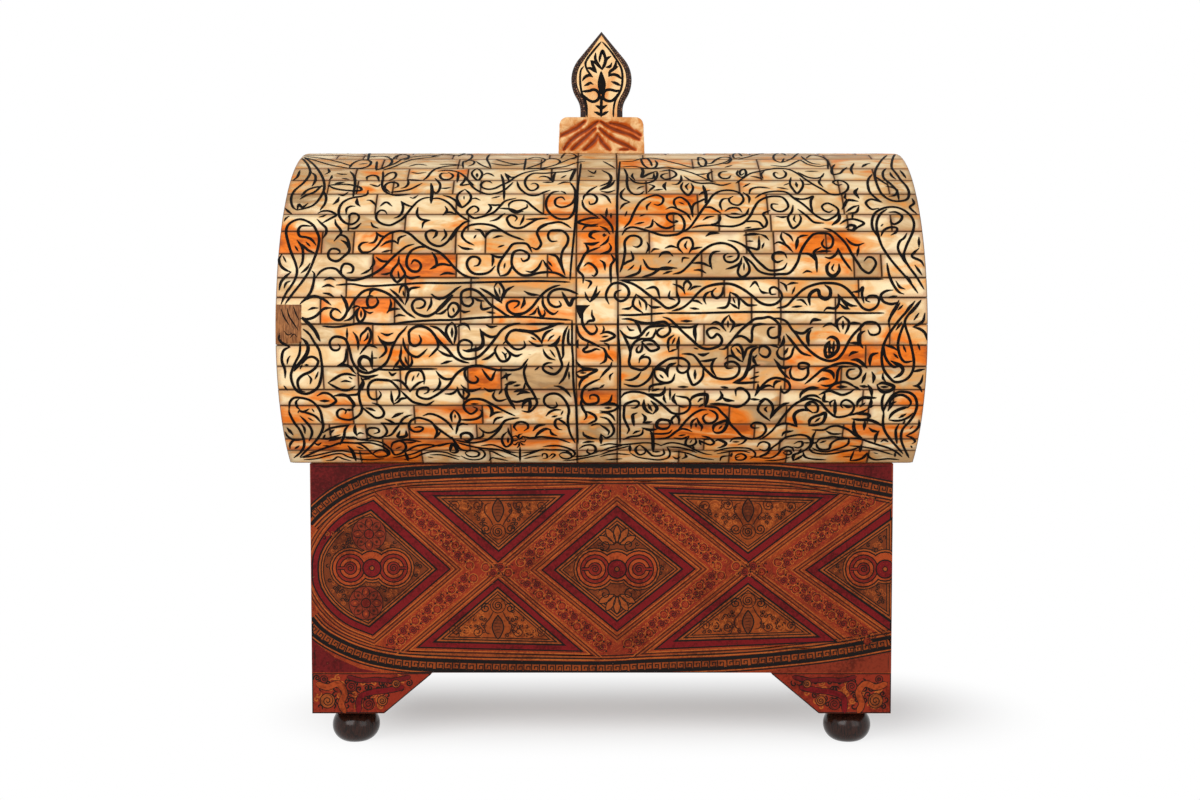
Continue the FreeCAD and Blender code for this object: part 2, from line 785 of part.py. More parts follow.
def budHalf(sketch, neck, rise, belly, bellyRise, radius, height):
    neckHalf, neckRise, widest = value(neck), value(rise), value(belly)
    bellyLevel, bend, tip = value(bellyRise), value(radius), value(height)
    swing = 2 * math.atan2(widest - neckHalf, bellyLevel - neckRise)
    hollowBend = (bellyLevel - neckRise) / math.sin(swing) - bend
    centre = Vector(widest - bend, bellyLevel, 0)
    toTip = Vector(0, tip, 0) - centre
    touch = math.atan2(toTip.y, toTip.x) - math.acos(bend / toTip.Length)
    up = Vector(0, 0, 1)
    hollowCircle = Part.Circle(Vector(neckHalf + hollowBend, neckRise, 0), up, hollowBend)
    bellyCircle = Part.Circle(centre, up, bend)
    touchPoint = centre + Vector(math.cos(touch), math.sin(touch), 0) * bend
    sketch.addGeometry([
        Part.LineSegment(Vector(0, 0, 0), Vector(neckHalf, 0, 0)),
        Part.LineSegment(Vector(neckHalf, 0, 0), Vector(neckHalf, neckRise, 0)),
        Part.ArcOfCircle(hollowCircle, math.pi - swing, math.pi),
        Part.ArcOfCircle(bellyCircle, -swing, touch),
        Part.LineSegment(touchPoint, Vector(0, tip, 0)),
        Part.LineSegment(Vector(0, tip, 0), Vector(0, 0, 0)),
    ], False)
    for constraint in (
        ("Coincident", 0, 1, -1, 1), ("Coincident", 0, 2, 1, 1), ("Coincident", 4, 2, 5, 1),
        ("Coincident", 5, 2, 0, 1), ("Horizontal", 0), ("Vertical", 1), ("Vertical", 5),
        ("Tangent", 1, 2, 2, 2), ("Tangent", 2, 1, 3, 1), ("Tangent", 3, 2, 4, 1),
    ):
        sketch.addConstraint(Sketcher.Constraint(*constraint))
    pinPoint(sketch, 1, 2, (neck, rise))
    pinPoint(sketch, 3, 3, (f"{belly}-({radius})", bellyRise))
    for kind, element, end, expression in (("Radius", 3, None, radius), ("DistanceY", 4, 2, height)):
        where = (element,) if end is None else (-1, 1, element, end)
        index = sketch.addConstraint(Sketcher.Constraint(kind, *where, value(expression)))
        sketch.setExpression(f"Constraints[{index}]", expression)


def budBody(name, trim, tipTrim, thick, across, bevel=None):
    body = newBody(name)
    sketch = sketchOn(body, f"{name}_half", "XZ_Plane")
    budHalf(
        sketch, f"sizes.bud_neck_width/2-{trim}", "sizes.bud_neck_rise", f"sizes.bud_width/2-{trim}",
        "sizes.bud_belly_rise", f"sizes.bud_belly_radius-{trim}", f"sizes.bud_height-{tipTrim}",
    )
    half = pad(body, f"{name}_pad", sketch, thick, symmetric=True)
    mirror = body.newObject("PartDesign::Mirrored", f"{name}_mirror")
    mirror.Originals = [half]
    mirror.MirrorPlane = (sketch, ["V_Axis"])
    body.Tip = mirror
    doc.recompute()
    if bevel:
        rims = [
            f"Edge{i}" for i, edge in enumerate(mirror.Shape.Edges, 1)
            if edge.BoundBox.YLength < bevelSnap and edge.BoundBox.ZMax > bevelSnap
        ]
        chamfer = body.newObject("PartDesign::Chamfer", f"{name}_bevel")
        chamfer.Base = (mirror, rims)
        bind(chamfer, {"Size": bevel})
        body.Tip = chamfer
    return bind(body, at("0", across, "layout.block_top"))


bevelSnap = 0.01
budCore = budBody("bud_core", "0", "0", "sizes.bud_thick", "0", "sizes.bud_bevel")
keep(cut("finial_bud", budCore, finialBore), "finial_bud")
for end, across in ends.items():
    keep(budBody(
        f"bud_face_{end}", "sizes.face_inset", "sizes.face_tip_inset", "sizes.face_thick",
        f"{across}*(sizes.bud_thick+sizes.face_thick)/2",
    ), f"finial_face_{end}")
keep(rod(
    "finial_peg", ("0", "0", "layout.crown_level-layout.shell_thick"), "sizes.peg_radius",
    "layout.shell_thick+sizes.block_rise+sizes.peg_rise", Vector(0, 0, 1),
), "finial_peg")

# Every object up to date and every sub-part sound before its file is written
doc.recompute()
for item in doc.Objects:
    if {"Invalid", "Error"} & set(item.State):
        raise RuntimeError(f"{item.Label} failed: {item.State}")
os.makedirs("parts", exist_ok=True)
for item in kept:
    if item.Shape.isNull() or not item.Shape.isValid():
        raise RuntimeError(f"{item.Label} has no sound shape")
for item in kept:
    item.Shape.exportStep(f"parts/{item.Label}.step")
    solids = item.Shape.Solids
    print(f"{item.Label}: {len(solids)} solids, {sum(solid.Volume for solid in solids) / 1000:.2f} cm3")
print(f"{len(kept)} sub-parts")
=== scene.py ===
import bisect
import math
import random

import bmesh
import bpy
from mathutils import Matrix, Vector, geometry, noise


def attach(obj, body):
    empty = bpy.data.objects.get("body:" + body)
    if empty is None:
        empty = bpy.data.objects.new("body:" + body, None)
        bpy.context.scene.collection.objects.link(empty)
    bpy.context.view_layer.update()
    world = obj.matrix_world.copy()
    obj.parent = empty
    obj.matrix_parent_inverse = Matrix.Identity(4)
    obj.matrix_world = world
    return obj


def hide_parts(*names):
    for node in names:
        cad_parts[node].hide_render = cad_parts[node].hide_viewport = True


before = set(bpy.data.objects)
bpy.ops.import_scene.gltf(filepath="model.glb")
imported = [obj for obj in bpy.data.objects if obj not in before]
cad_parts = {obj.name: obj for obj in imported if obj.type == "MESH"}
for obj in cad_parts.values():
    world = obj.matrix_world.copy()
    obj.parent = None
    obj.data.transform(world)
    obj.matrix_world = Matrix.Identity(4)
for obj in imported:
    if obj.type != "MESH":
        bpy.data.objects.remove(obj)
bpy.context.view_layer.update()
mm = 0.001
print("frame:", len(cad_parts), "nodes")


def tint(red, green, blue):  # screen values to the shader's linear ones
    return tuple(((c / 255 + 0.055) / 1.055) ** 2.4 if c > 10 else c / 3294.6 for c in (red, green, blue)) + (1.0,)


class Wire:  # a shader socket that takes part in sums
    def __init__(self, tree, socket):
        self.tree = tree
        self.socket = socket

    def sum(self, operation, *items):
        node = self.tree.nodes.new("ShaderNodeMath")
        node.operation = operation
        for socket, item in zip(node.inputs, items):
            connect(self.tree, socket, item)
        return Wire(self.tree, node.outputs[0])

    def part(self, name):  # another output of the same node
        return Wire(self.tree, self.socket.node.outputs[name])

    def most(self, other):
        return self.sum("MAXIMUM", self, other)

    def __add__(self, other):
        return self.sum("ADD", self, other)

    def __radd__(self, other):
        return self.sum("ADD", other, self)

    def __sub__(self, other):
        return self.sum("SUBTRACT", self, other)

    def __mul__(self, other):
        return self.sum("MULTIPLY", self, other)

    def __truediv__(self, other):
        return self.sum("DIVIDE", self, other)

    def __pow__(self, other):
        return self.sum("POWER", self, other)

    def __abs__(self):
        return self.sum("ABSOLUTE", self)


def connect(tree, socket, item):
    if isinstance(item, Wire):
        tree.links.new(item.socket, socket)
    else:
        socket.default_value = item


class Finish:  # a material and the nodes that feed its shader
    def __init__(self, name):
        self.material = bpy.data.materials.new(name)
        self.material.use_nodes = True
        self.tree = self.material.node_tree
        self.shader = self.tree.nodes["Principled BSDF"]

    def node(self, kind, settings=None, sockets=None, out=0):
        node = self.tree.nodes.new(kind)
        for key, item in (settings or {}).items():
            setattr(node, key, item)
        for key, item in (sockets or {}).items():
            connect(self.tree, node.inputs[key], item)
        return Wire(self.tree, node.outputs[out])

    def set(self, **sockets):
        for key, item in sockets.items():
            connect(self.tree, self.shader.inputs[key.replace("_", " ")], item)

    def place(self):  # millimetres in the piece's own space
        here = self.node("ShaderNodeTexCoord", out="Object")
        return self.stretch(here, (1000, 1000, 1000))

    def stretch(self, vector, by):
        return self.node("ShaderNodeVectorMath", {"operation": "MULTIPLY"}, {0: vector, 1: by})

    def shift(self, vector, by):
        return self.node("ShaderNodeVectorMath", {"operation": "ADD"}, {0: vector, 1: by})

    def grain(self, vector, scale, detail=4, rough=0.55, warp=0.0):
        return self.node("ShaderNodeTexNoise", None, {
            "Vector": vector, "Scale": scale, "Detail": detail, "Roughness": rough, "Distortion": warp})

    def step(self, wire, low, high, start=0.0, stop=1.0):
        return self.node("ShaderNodeMapRange", {"interpolation_type": "SMOOTHSTEP"}, {
            "Value": wire, "From Min": low, "From Max": high, "To Min": start, "To Max": stop})

    def mix(self, first, second, share, blend="MIX"):
        settings = {"data_type": "RGBA", "blend_type": blend}
        return self.node("ShaderNodeMix", settings, {0: share, 6: first, 7: second}, 2)

    def over(self, base, tone, wire, low, high, share=1.0):  # a tone where a pattern is strong
        return self.mix(base, tone, self.step(wire, low, high, 0.0, share))

    def streak(self, vector, by, detail=4, rough=0.55, warp=0.0):  # grain drawn out along an axis
        return self.grain(self.stretch(vector, by), 1.0, detail, rough, warp)

    def own(self, name, out="Fac"):
        return self.node("ShaderNodeAttribute", {"attribute_name": name}, out=out)

    def bump(self, height, depth, strength=1.0):
        return self.node("ShaderNodeBump", None, {"Height": height, "Distance": depth * mm, "Strength": strength})


# Finishes

bone = {
    "cream": tint(244, 220, 176), "warm": tint(230, 188, 132), "tan": tint(186, 146, 98), "smoke": tint(118, 90, 62),
    "amber": tint(234, 160, 82), "henna": tint(230, 112, 6), "rust": tint(150, 58, 8), "seam": tint(84, 54, 30),
    "roughness": 0.36,
}


def boneFinish(name, laid):  # laid plates keep their tones on the mesh
    f = Finish(name)
    here = f.place()
    if laid:
        tone = f.node("ShaderNodeSeparateColor", None, {"Color": f.own("tone", "Color")})
        stain, shade, seed = tone, tone.part("Green"), tone.part("Blue")
        rim = f.own("rim")
        offset = f.node("ShaderNodeCombineXYZ", None, {"X": seed * 811, "Y": seed * 1373, "Z": seed * 577})
        spot = f.shift(here, offset)
    else:
        spot = here
        stain, shade, rim = f.grain(here, 0.05, 2) * 0.7, f.grain(here, 0.08, 2) * 0.6, 4.0
    streak = f.streak(spot, (0.03, 0.085, 0.085), 4, 0.5, 1.3)
    cloud = f.streak(spot, (0.05, 0.09, 0.09), 4, 0.52, 0.9)
    fibre = f.streak(spot, (0.3, 1.7, 1.7), 3, 0.6, 0.3)
    pore = f.streak(spot, (0.5, 1.6, 1.6), 2, 0.5)
    colour = f.over(bone["cream"], bone["warm"], cloud, 0.36, 0.66)
    # on laid plates shade holds each plate's darkness: its own tone, the smoky plates, and painted shade near the
    # crown and along the lowest courses
    colour = f.over(colour, bone["tan"], shade * 1.2 + (cloud - 0.5) * 1.6, 0.25, 1.0, 0.85)
    colour = f.over(colour, bone["smoke"], shade + (streak - 0.5) * 2.6 + (cloud - 0.5), 0.55, 1.25, 0.8)
    wash = (streak - 0.5) * 3.6 + (cloud - 0.5) * 1.8 + stain * 1.2
    colour = f.over(colour, bone["amber"], wash, 0.12, 0.85, 0.75)
    colour = f.over(colour, bone["henna"], wash, 0.65, 1.35, 0.92)
    colour = f.over(colour, bone["rust"], wash + (fibre - 0.5) * 0.6, 1.3, 2.1, 0.8)
    colour = f.over(colour, bone["seam"], pore, 0.7, 0.8, 0.45)
    if laid:
        # browner and darker within about three millimetres of each plate's edge, broken up by the cloud noise
        edgeDarkening = f.step(rim + (cloud - 0.5) * 7, 3.0, -0.6)
        colour = f.mix(colour, f.mix(bone["rust"], bone["smoke"], f.step(streak, 0.42, 0.58)), edgeDarkening * 0.55)
        colour = f.over(colour, bone["seam"], rim, 0.75, 0.1, 0.85)
    f.set(Base_Color=colour, Specular_IOR_Level=0.15, Roughness=bone["roughness"] + fibre * 0.16,
          Normal=f.bump(fibre * 0.5 + cloud * 0.8, 0.12, 0.6))
    return f.material


def inkFinish():
    f = Finish("burntInk")
    here = f.place()
    blot = f.grain(here, 0.5, 4, 0.6)
    worn = f.grain(here, 2.6, 3, 0.6)
    colour = f.over(tint(13, 10, 9), tint(40, 27, 18), blot, 0.52, 0.8)
    f.set(Base_Color=colour, Roughness=0.5 + worn * 0.3, Specular_IOR_Level=0.07, Normal=f.bump(worn, 0.05, 0.5))
    return f.material


wood = {"light": tint(176, 128, 80), "dark": tint(112, 72, 40), "pore": tint(70, 42, 24)}


def bareGrain(f, here):  # sawn boards with the grain along the chest
    ring = f.streak(here, (0.006, 0.16, 0.16), 3, 0.5, 1.6)
    line = f.streak(here, (0.03, 1.5, 1.5), 4, 0.6, 0.2)
    colour = f.over(wood["light"], wood["dark"], ring, 0.34, 0.68)
    colour = f.over(colour, wood["pore"], line, 0.56, 0.76, 0.55)
    return colour, line


def bareFinish():
    f = Finish("sawnWood")
    colour, line = bareGrain(f, f.place())
    f.set(Base_Color=colour, Roughness=0.68 + line * 0.18, Normal=f.bump(line, 0.25, 0.7))
    return f.material


def mendFinish():  # oiled veneer with its grain across the chest
    f = Finish("oiledVeneer")
    here = f.place()
    line = f.streak(here, (1.4, 0.16, 0.16), 4, 0.6, 0.8)
    cloud = f.grain(here, 0.16, 3, 0.5)
    colour = f.over(tint(158, 102, 56), tint(104, 60, 28), line, 0.38, 0.62)
    colour = f.over(colour, tint(60, 34, 18), cloud, 0.52, 0.74, 0.7)
    f.set(Base_Color=colour, Specular_IOR_Level=0.2, Roughness=0.46 + line * 0.2, Normal=f.bump(line, 0.12, 0.6))
    return f.material


paint = {
    "ground": tint(146, 56, 22), "ember": tint(116, 34, 17), "smoke": tint(66, 27, 14),
    "gold": tint(176, 88, 34), "line": tint(52, 22, 12), "inside": (155.6, 59.6),
}


def groundFinish():
    f = Finish("paintedBoard")
    here = f.place()
    cloud = f.grain(here, 0.028, 5, 0.6, 0.6)
    spot = f.grain(here, 0.22, 4, 0.6)
    brush = f.streak(here, (0.05, 0.9, 0.9), 4, 0.6)
    swirl = f.grain(here, 0.085, 2, 0.5, 2.2)
    wave = swirl * 9
    wave = wave.sum("FRACT", wave)
    tooled = f.step(abs(wave - 0.5), 0.13, 0.03)
    colour = f.over(paint["ground"], paint["ember"], cloud, 0.38, 0.66)
    colour = f.mix(colour, paint["gold"], tooled * f.step(spot, 0.35, 0.62) * 0.55)
    colour = f.over(colour, paint["line"], abs(wave - 0.5), 0.4, 0.48, 0.45)
    colour = f.over(colour, paint["smoke"], spot + (cloud - 0.5) * 0.6, 0.58, 0.82, 0.6)
    colour = f.over(colour, paint["gold"], brush, 0.64, 0.8, 0.4)
    bare, line = bareGrain(f, here)
    sides = f.node("ShaderNodeSeparateXYZ", None, {0: here})
    wide, deep = paint["inside"]
    within = f.step((abs(sides) / wide).most(abs(sides.part("Y")) / deep), 1.0, 0.9985)
    f.set(Base_Color=f.mix(colour, bare, within), Specular_IOR_Level=0.1, Roughness=0.42 + spot * 0.2 + within * 0.2,
          Normal=f.bump(tooled * 0.5 + brush * 0.7, 0.14, 0.6))
    return f.material


def coatFinish():  # strokes and fields of paint, their colour kept on the mesh
    f = Finish("laidPaint")
    here = f.place()
    coat = f.own("coat", "Color")
    cloud = f.grain(here, 0.05, 4, 0.6)
    spot = f.grain(here, 0.55, 4, 0.65)
    brush = f.streak(here, (0.12, 1.3, 1.3), 4, 0.6)
    colour = f.mix(coat, tint(150, 132, 124), f.step(spot + (cloud - 0.5), 0.42, 0.72) * 0.75, "MULTIPLY")
    colour = f.over(colour, tint(184, 118, 80), spot, 0.66, 0.78, 0.45)
    colour = f.over(colour, tint(64, 30, 18), brush, 0.66, 0.8, 0.35)
    f.set(Base_Color=colour, Specular_IOR_Level=0.1, Roughness=0.4 + spot * 0.22,
          Normal=f.bump(spot * 0.6 + brush, 0.1, 0.5))
    return f.material


def darkFinish():  # turned and carved dark wood under a worn polish
    f = Finish("darkPolish")
    here = f.place()
    line = f.streak(here, (1.1, 1.1, 0.16), 4, 0.6, 0.4)
    spot = f.grain(here, 0.35, 4, 0.6)
    colour = f.over(tint(52, 28, 20), tint(24, 14, 11), line, 0.38, 0.66)
    colour = f.over(colour, tint(112, 56, 30), spot, 0.66, 0.78, 0.5)
    f.set(Base_Color=colour, Specular_IOR_Level=0.24, Roughness=0.12 + spot * 0.14, Normal=f.bump(line, 0.06, 0.4))
    return f.material


def brassFinish():
    f = Finish("agedBrass")
    here = f.place()
    patch = f.grain(here, 0.18, 5, 0.6)
    scratch = f.streak(here, (0.2, 3, 3), 3, 0.6)
    colour = f.over(tint(190, 148, 78), tint(96, 70, 38), patch, 0.4, 0.68)
    f.set(Base_Color=colour, Metallic=f.step(patch, 0.82, 0.6), Roughness=0.3 + patch * 0.3,
          Normal=f.bump(scratch, 0.05, 0.4))
    return f.material


def carvedFinish():  # bone cut in flutes, with henna left in the hollows
    f = Finish("boneFluted")
    here = f.place()
    carve = f.own("carve")
    cloud = f.grain(here, 0.12, 4, 0.6, 0.8)
    fibre = f.streak(here, (0.5, 2.2, 2.2), 3, 0.6, 0.3)
    colour = f.over(tint(236, 192, 136), tint(204, 132, 66), cloud, 0.36, 0.6)
    colour = f.over(colour, tint(194, 82, 14), carve + (cloud - 0.5) * 1.2, 0.14, 0.62, 0.94)
    colour = f.over(colour, tint(104, 36, 6), carve + (cloud - 0.5) * 0.6, 0.62, 0.98, 0.92)
    f.set(Base_Color=colour, Specular_IOR_Level=0.18, Roughness=0.34 + fibre * 0.16,
          Normal=f.bump(fibre + cloud, 0.12, 0.5))
    return f.material


def beadFinish():
    f = Finish("rubbedBeads")
    here = f.place()
    speck = f.grain(here, 1.1, 3, 0.6)
    colour = f.over(tint(40, 24, 17), tint(186, 136, 102), speck, 0.5, 0.66)
    f.set(Base_Color=colour, Specular_IOR_Level=0.3, Roughness=0.34 + speck * 0.2, Normal=f.bump(speck, 0.08, 0.5))
    return f.material


def leafFinish():  # smooth bone, warmer in soft patches
    f = Finish("boneLeaf")
    here = f.place()
    cloud = f.grain(here, 0.075, 3, 0.5, 0.6)
    fibre = f.streak(here, (2.2, 2.2, 0.3), 3, 0.6, 0.3)
    colour = f.over(tint(240, 204, 150), tint(228, 168, 104), cloud, 0.34, 0.6)
    colour = f.over(colour, tint(216, 116, 40), cloud, 0.52, 0.74, 0.85)
    colour = f.over(colour, tint(170, 112, 62), fibre, 0.6, 0.8, 0.3)
    f.set(Base_Color=colour, Specular_IOR_Level=0.22, Roughness=0.34 + fibre * 0.16, Normal=f.bump(fibre, 0.08, 0.5))
    return f.material


finishes = {
    "plates": boneFinish("bonePlates", True), "bone": boneFinish("boneCarved", False), "ink": inkFinish(),
    "bare": bareFinish(), "ground": groundFinish(), "coat": coatFinish(), "dark": darkFinish(),
    "brass": brassFinish(), "carved": carvedFinish(), "bead": beadFinish(), "leaf": leafFinish(),
    "mend": mendFinish(),
}
print("finishes:", len(finishes))


def dress(name, finish):
    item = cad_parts[name]
    if not item.material_slots:
        item.data.materials.append(None)
    for slot in item.material_slots:
        slot.material = finishes[finish]


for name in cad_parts:
    if name.startswith(("lid_stave", "lid_end", "lid_rail", "floor", "corner")):
        dress(name, "bare")
    elif name.endswith("_panel"):
        dress(name, "ground")
    elif name.startswith("hinge"):
        dress(name, "brass")
    elif name.startswith(("bun", "finial_bud", "finial_peg")):
        dress(name, "dark")
    elif name.startswith("finial_face"):
        dress(name, "leaf")
    else:
        dress(name, "bone")


def piece(name, points, faces, finish, body):
    mesh = bpy.data.meshes.new(name)
    mesh.from_pydata([tuple(p) for p in points], [], faces)
    mesh.polygons.foreach_set("use_smooth", [True] * len(mesh.polygons))
    mesh.materials.append(finishes[finish])
    mesh.update()
    item = bpy.data.objects.new(name, mesh)
    bpy.context.collection.objects.link(item)
    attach(item, body)
    return item


def keepColour(item, name, colours):
    layer = item.data.attributes.new(name, "FLOAT_COLOR", "POINT")
    layer.data.foreach_set("color", [c for colour in colours for c in colour])


def keepValue(item, name, values):
    item.data.attributes.new(name, "FLOAT", "POINT").data.foreach_set("value", values)


# The camera, and the lines of sight that place the drawing

view = {"lens": 46.35, "sensor": 36.0, "place": (-0.9, -965.0, 250.6), "tilt": 3.0, "frame": (1200, 800)}


def sightLine(px, py):  # a direction through a point of the frame, one unit deep
    wide, tall = view["frame"]
    scale = view["lens"] / view["sensor"] * wide
    across, up = (px - wide / 2) / scale, (tall / 2 - py) / scale
    tilt = math.radians(view["tilt"])
    return Vector((across, math.cos(tilt) + up * math.sin(tilt), up * math.cos(tilt) - math.sin(tilt)))


def onUpright(px, py, level):  # millimetres along and up, on an upright plane across the view
    eye, line = view["place"], sightLine(px, py)
    depth = (level - eye[1]) / line.y
    return eye[0] + depth * line.x, eye[2] + depth * line.z


barrel = {"radius": 112.5, "drop": 98.0, "rimDrop": 73.0, "axis": 240.3, "half": 180.0, "rows": 1600}


def sectionTrack():  # arc from the crown, place and outward direction down to the rim
    radius, drop = barrel["radius"], barrel["drop"]
    lowest = math.asin(barrel["rimDrop"] / drop)
    track = []
    run = 0.0
    for i in range(barrel["rows"] + 1):
        angle = math.pi / 2 - (math.pi / 2 + lowest) * i / barrel["rows"]
        tall = radius if angle >= 0 else drop
        spot = Vector((radius * math.cos(angle), barrel["axis"] + tall * math.sin(angle)))
        out = Vector((math.cos(angle) / radius, math.sin(angle) / tall)).normalized()
        run += (spot - track[-1][1]).length if track else 0.0
        track.append((run, spot, out))
    return track


track = sectionTrack()
runs = [row[0] for row in track]
halfArc = runs[-1]


def onBarrel(along, arc, height):  # front arcs are negative, height is off the bone's face
    run = min(abs(arc), halfArc)
    i = min(max(bisect.bisect_left(runs, run), 1), len(track) - 1)
    share = (run - runs[i - 1]) / (runs[i] - runs[i - 1])
    spot = track[i - 1][1].lerp(track[i][1], share)
    out = track[i - 1][2].lerp(track[i][2], share)
    face = -1 if arc < 0 else 1
    rest = max(abs(arc) - halfArc, 0.0)
    return Vector((along, face * (spot.x + out.x * height), spot.y + out.y * height - rest)) * mm


def arcOf(y, z):
    angle = math.atan2((z - barrel["axis"]) / (barrel["radius"] if z > barrel["axis"] else barrel["drop"]),
                       abs(y) / barrel["radius"])
    lowest = math.asin(barrel["rimDrop"] / barrel["drop"])
    share = (math.pi / 2 - angle) / (math.pi / 2 + lowest) * barrel["rows"]
    i = min(max(int(share), 0), barrel["rows"] - 1)
    run = runs[i] + (runs[i + 1] - runs[i]) * (share - i)
    return math.copysign(run, y)


def onLid(px, py):  # along and arc of the bone that a line of sight meets
    eye, line = view["place"], sightLine(px, py)
    best = -eye[1]
    for tall in (barrel["radius"], barrel["drop"]):
        y0, z0 = eye[1] / barrel["radius"], (eye[2] - barrel["axis"]) / tall
        dy, dz = line.y / barrel["radius"], line.z / tall
        a, b, c = dy * dy + dz * dz, y0 * dy + z0 * dz, y0 * y0 + z0 * z0 - 1
        root = math.sqrt(max(b * b - a * c, 0.0))
        depth = (-b - root) / a
        z = eye[2] + depth * line.z
        if (z > barrel["axis"]) == (tall == barrel["radius"]):
            best = depth
    along, y, z = eye[0] + best * line.x, eye[1] + best * line.y, eye[2] + best * line.z
    return along, arcOf(y, z)


# Bone plates, each with softened edges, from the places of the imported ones

plates = {
    "thick": 2.1, "sink": 0.26, "uneven": 0.09, "tilt": 0.05, "cell": 5.0, "clear": 3.2, "deep": 4.0,
    "edge": ((0.0, 0.5), (0.28, 0.14), (0.8, 0.03), (3.0, 0.0)),  # distance in, drop
    "joint": (-0.06, 0.1), "rim": 0.3, "rimGap": 0.05, "endStep": 0.04, "endLift": (0.2, 0.08),
}


def looseParts(name):  # the corners of each separate solid of a node, from low to high
    grid = bmesh.new()
    grid.from_mesh(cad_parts[name].data)
    bmesh.ops.remove_doubles(grid, verts=grid.verts, dist=2e-6)
    met = set()
    parts = []
    for start in grid.verts:
        stack = [] if start in met else [start]
        part = []
        while stack:
            vert = stack.pop()
            if vert not in met:
                met.add(vert)
                part.append(vert.co * 1000)
                stack += [edge.other_vert(vert) for edge in vert.link_edges]
        if part:
            parts.append(part)
    grid.free()
    return sorted(parts, key=lambda part: (round(sum(p.z for p in part) / len(part), 1), min(p.x for p in part)))


hennaSpots = (  # plates rubbed with henna: frame place and reach in pixels
    (424, 242, 48), (410, 270, 26), (450, 258, 26), (550, 246, 32), (560, 268, 24), (372, 295, 30), (548, 210, 22),
    (292, 176, 14), (300, 240, 16), (676, 192, 30), (664, 218, 28), (760, 178, 18), (834, 194, 16), (832, 240, 34),
    (906, 264, 24), (866, 162, 38), (690, 238, 18), (870, 292, 28), (602, 216, 16), (416, 352, 26), (420, 372, 24),
    (296, 405, 24), (478, 372, 26), (480, 410, 40), (512, 437, 40), (420, 440, 24), (656, 371, 36), (876, 352, 46),
    (784, 390, 20), (722, 418, 24), (700, 437, 48), (916, 404, 14), (800, 376, 30), (600, 402, 20), (356, 336, 18),
    (540, 330, 20), (596, 344, 12), (880, 440, 26), (345, 420, 16), (900, 330, 16), (912, 300, 12), (905, 380, 16),
    (600, 250, 14), (640, 452, 24), (770, 452, 26), (850, 450, 20), (400, 453, 26), (330, 450, 14), (560, 452, 18),
)
smokeSpots = (  # plates left grey and brown
    (860, 267, 26), (650, 265, 34), (715, 267, 20), (460, 300, 26), (505, 400, 34), (535, 385, 20), (490, 430, 30),
    (700, 350, 26), (795, 330, 24), (750, 360, 20), (895, 350, 14), (310, 197, 18), (335, 240, 14), (590, 170, 14),
    (640, 180, 20), (845, 195, 20), (890, 195, 14), (600, 395, 14), (770, 410, 20), (670, 440, 24), (405, 300, 18),
    (860, 345, 16),
)
# reach to fall size the rubbed henna and smoke; low and crown place the painted shade on the lowest courses and near
# the crown
rubAndShade = {"reach": 1.75, "wide": 1.5, "tall": 13.0, "full": 1.9, "fall": 1.7, "low": 0.72, "crown": 45.0}
hennaPlaces, smokePlaces = (
    [(*onLid(px, py), reach / rubAndShade["reach"]) for px, py, reach in spots] for spots in (hennaSpots, smokeSpots)
)


def plateTone(dice, middle):  # a plate's own colour, deeper where the henna or the smoke was rubbed, with painted shade that darkens the plates near the crown and along the lowest courses
    own = dice.random() ** 2.4 * 0.5
    keen = dice.choice((0.35, 0.7, 1.0, 1.2))
    shade, seed = dice.random() ** 1.35, dice.random()

    def rubbed(places, along, arc):
        spans = (
            math.hypot((along - spotAlong) / (reach * rubAndShade["wide"]), (arc - spotArc) / rubAndShade["tall"])
            for spotAlong, spotArc, reach in places
        )
        return max(min(1.0, rubAndShade["full"] - rubAndShade["fall"] * near) for near in spans)

    def tone(along, arc):  # mostly one tone to a plate
        along, arc = (0.4 * here + 0.6 * centre for here, centre in zip((along, arc), middle))
        if arc > 0:
            along, arc = -along, -arc
        # painted shade: low darkens the lowest courses and high darkens the plates near the crown, added to the
        # plate's own tone and smoke
        low = max(0.0, (-arc / halfArc - rubAndShade["low"]) / (1 - rubAndShade["low"]))
        high = max(0.0, 1 - -arc / rubAndShade["crown"])
        toneAndPaintedShade = max(shade * 0.72, 0.85 * rubbed(smokePlaces, along, arc)) + 0.1 * low + 0.6 * high
        return max(own, keen * rubbed(hennaPlaces, along, arc)), min(1.0, toneAndPaintedShade), seed, 1.0

    return tone


def edgeRows(start, stop):  # grid lines across a plate, with the drop and the distance to the edge at each
    near = [(start + inward, drop, inward) for inward, drop in plates["edge"]]
    far = [(stop - inward, drop, inward) for inward, drop in reversed(plates["edge"])]
    reach, clear = stop - start, plates["clear"]
    parts = max(int(reach / plates["cell"]), 2)
    inner = [reach * k / parts for k in range(1, parts) if clear < reach * k / parts < reach - clear]
    return near + [(start + run, 0.0, plates["deep"]) for run in inner] + far


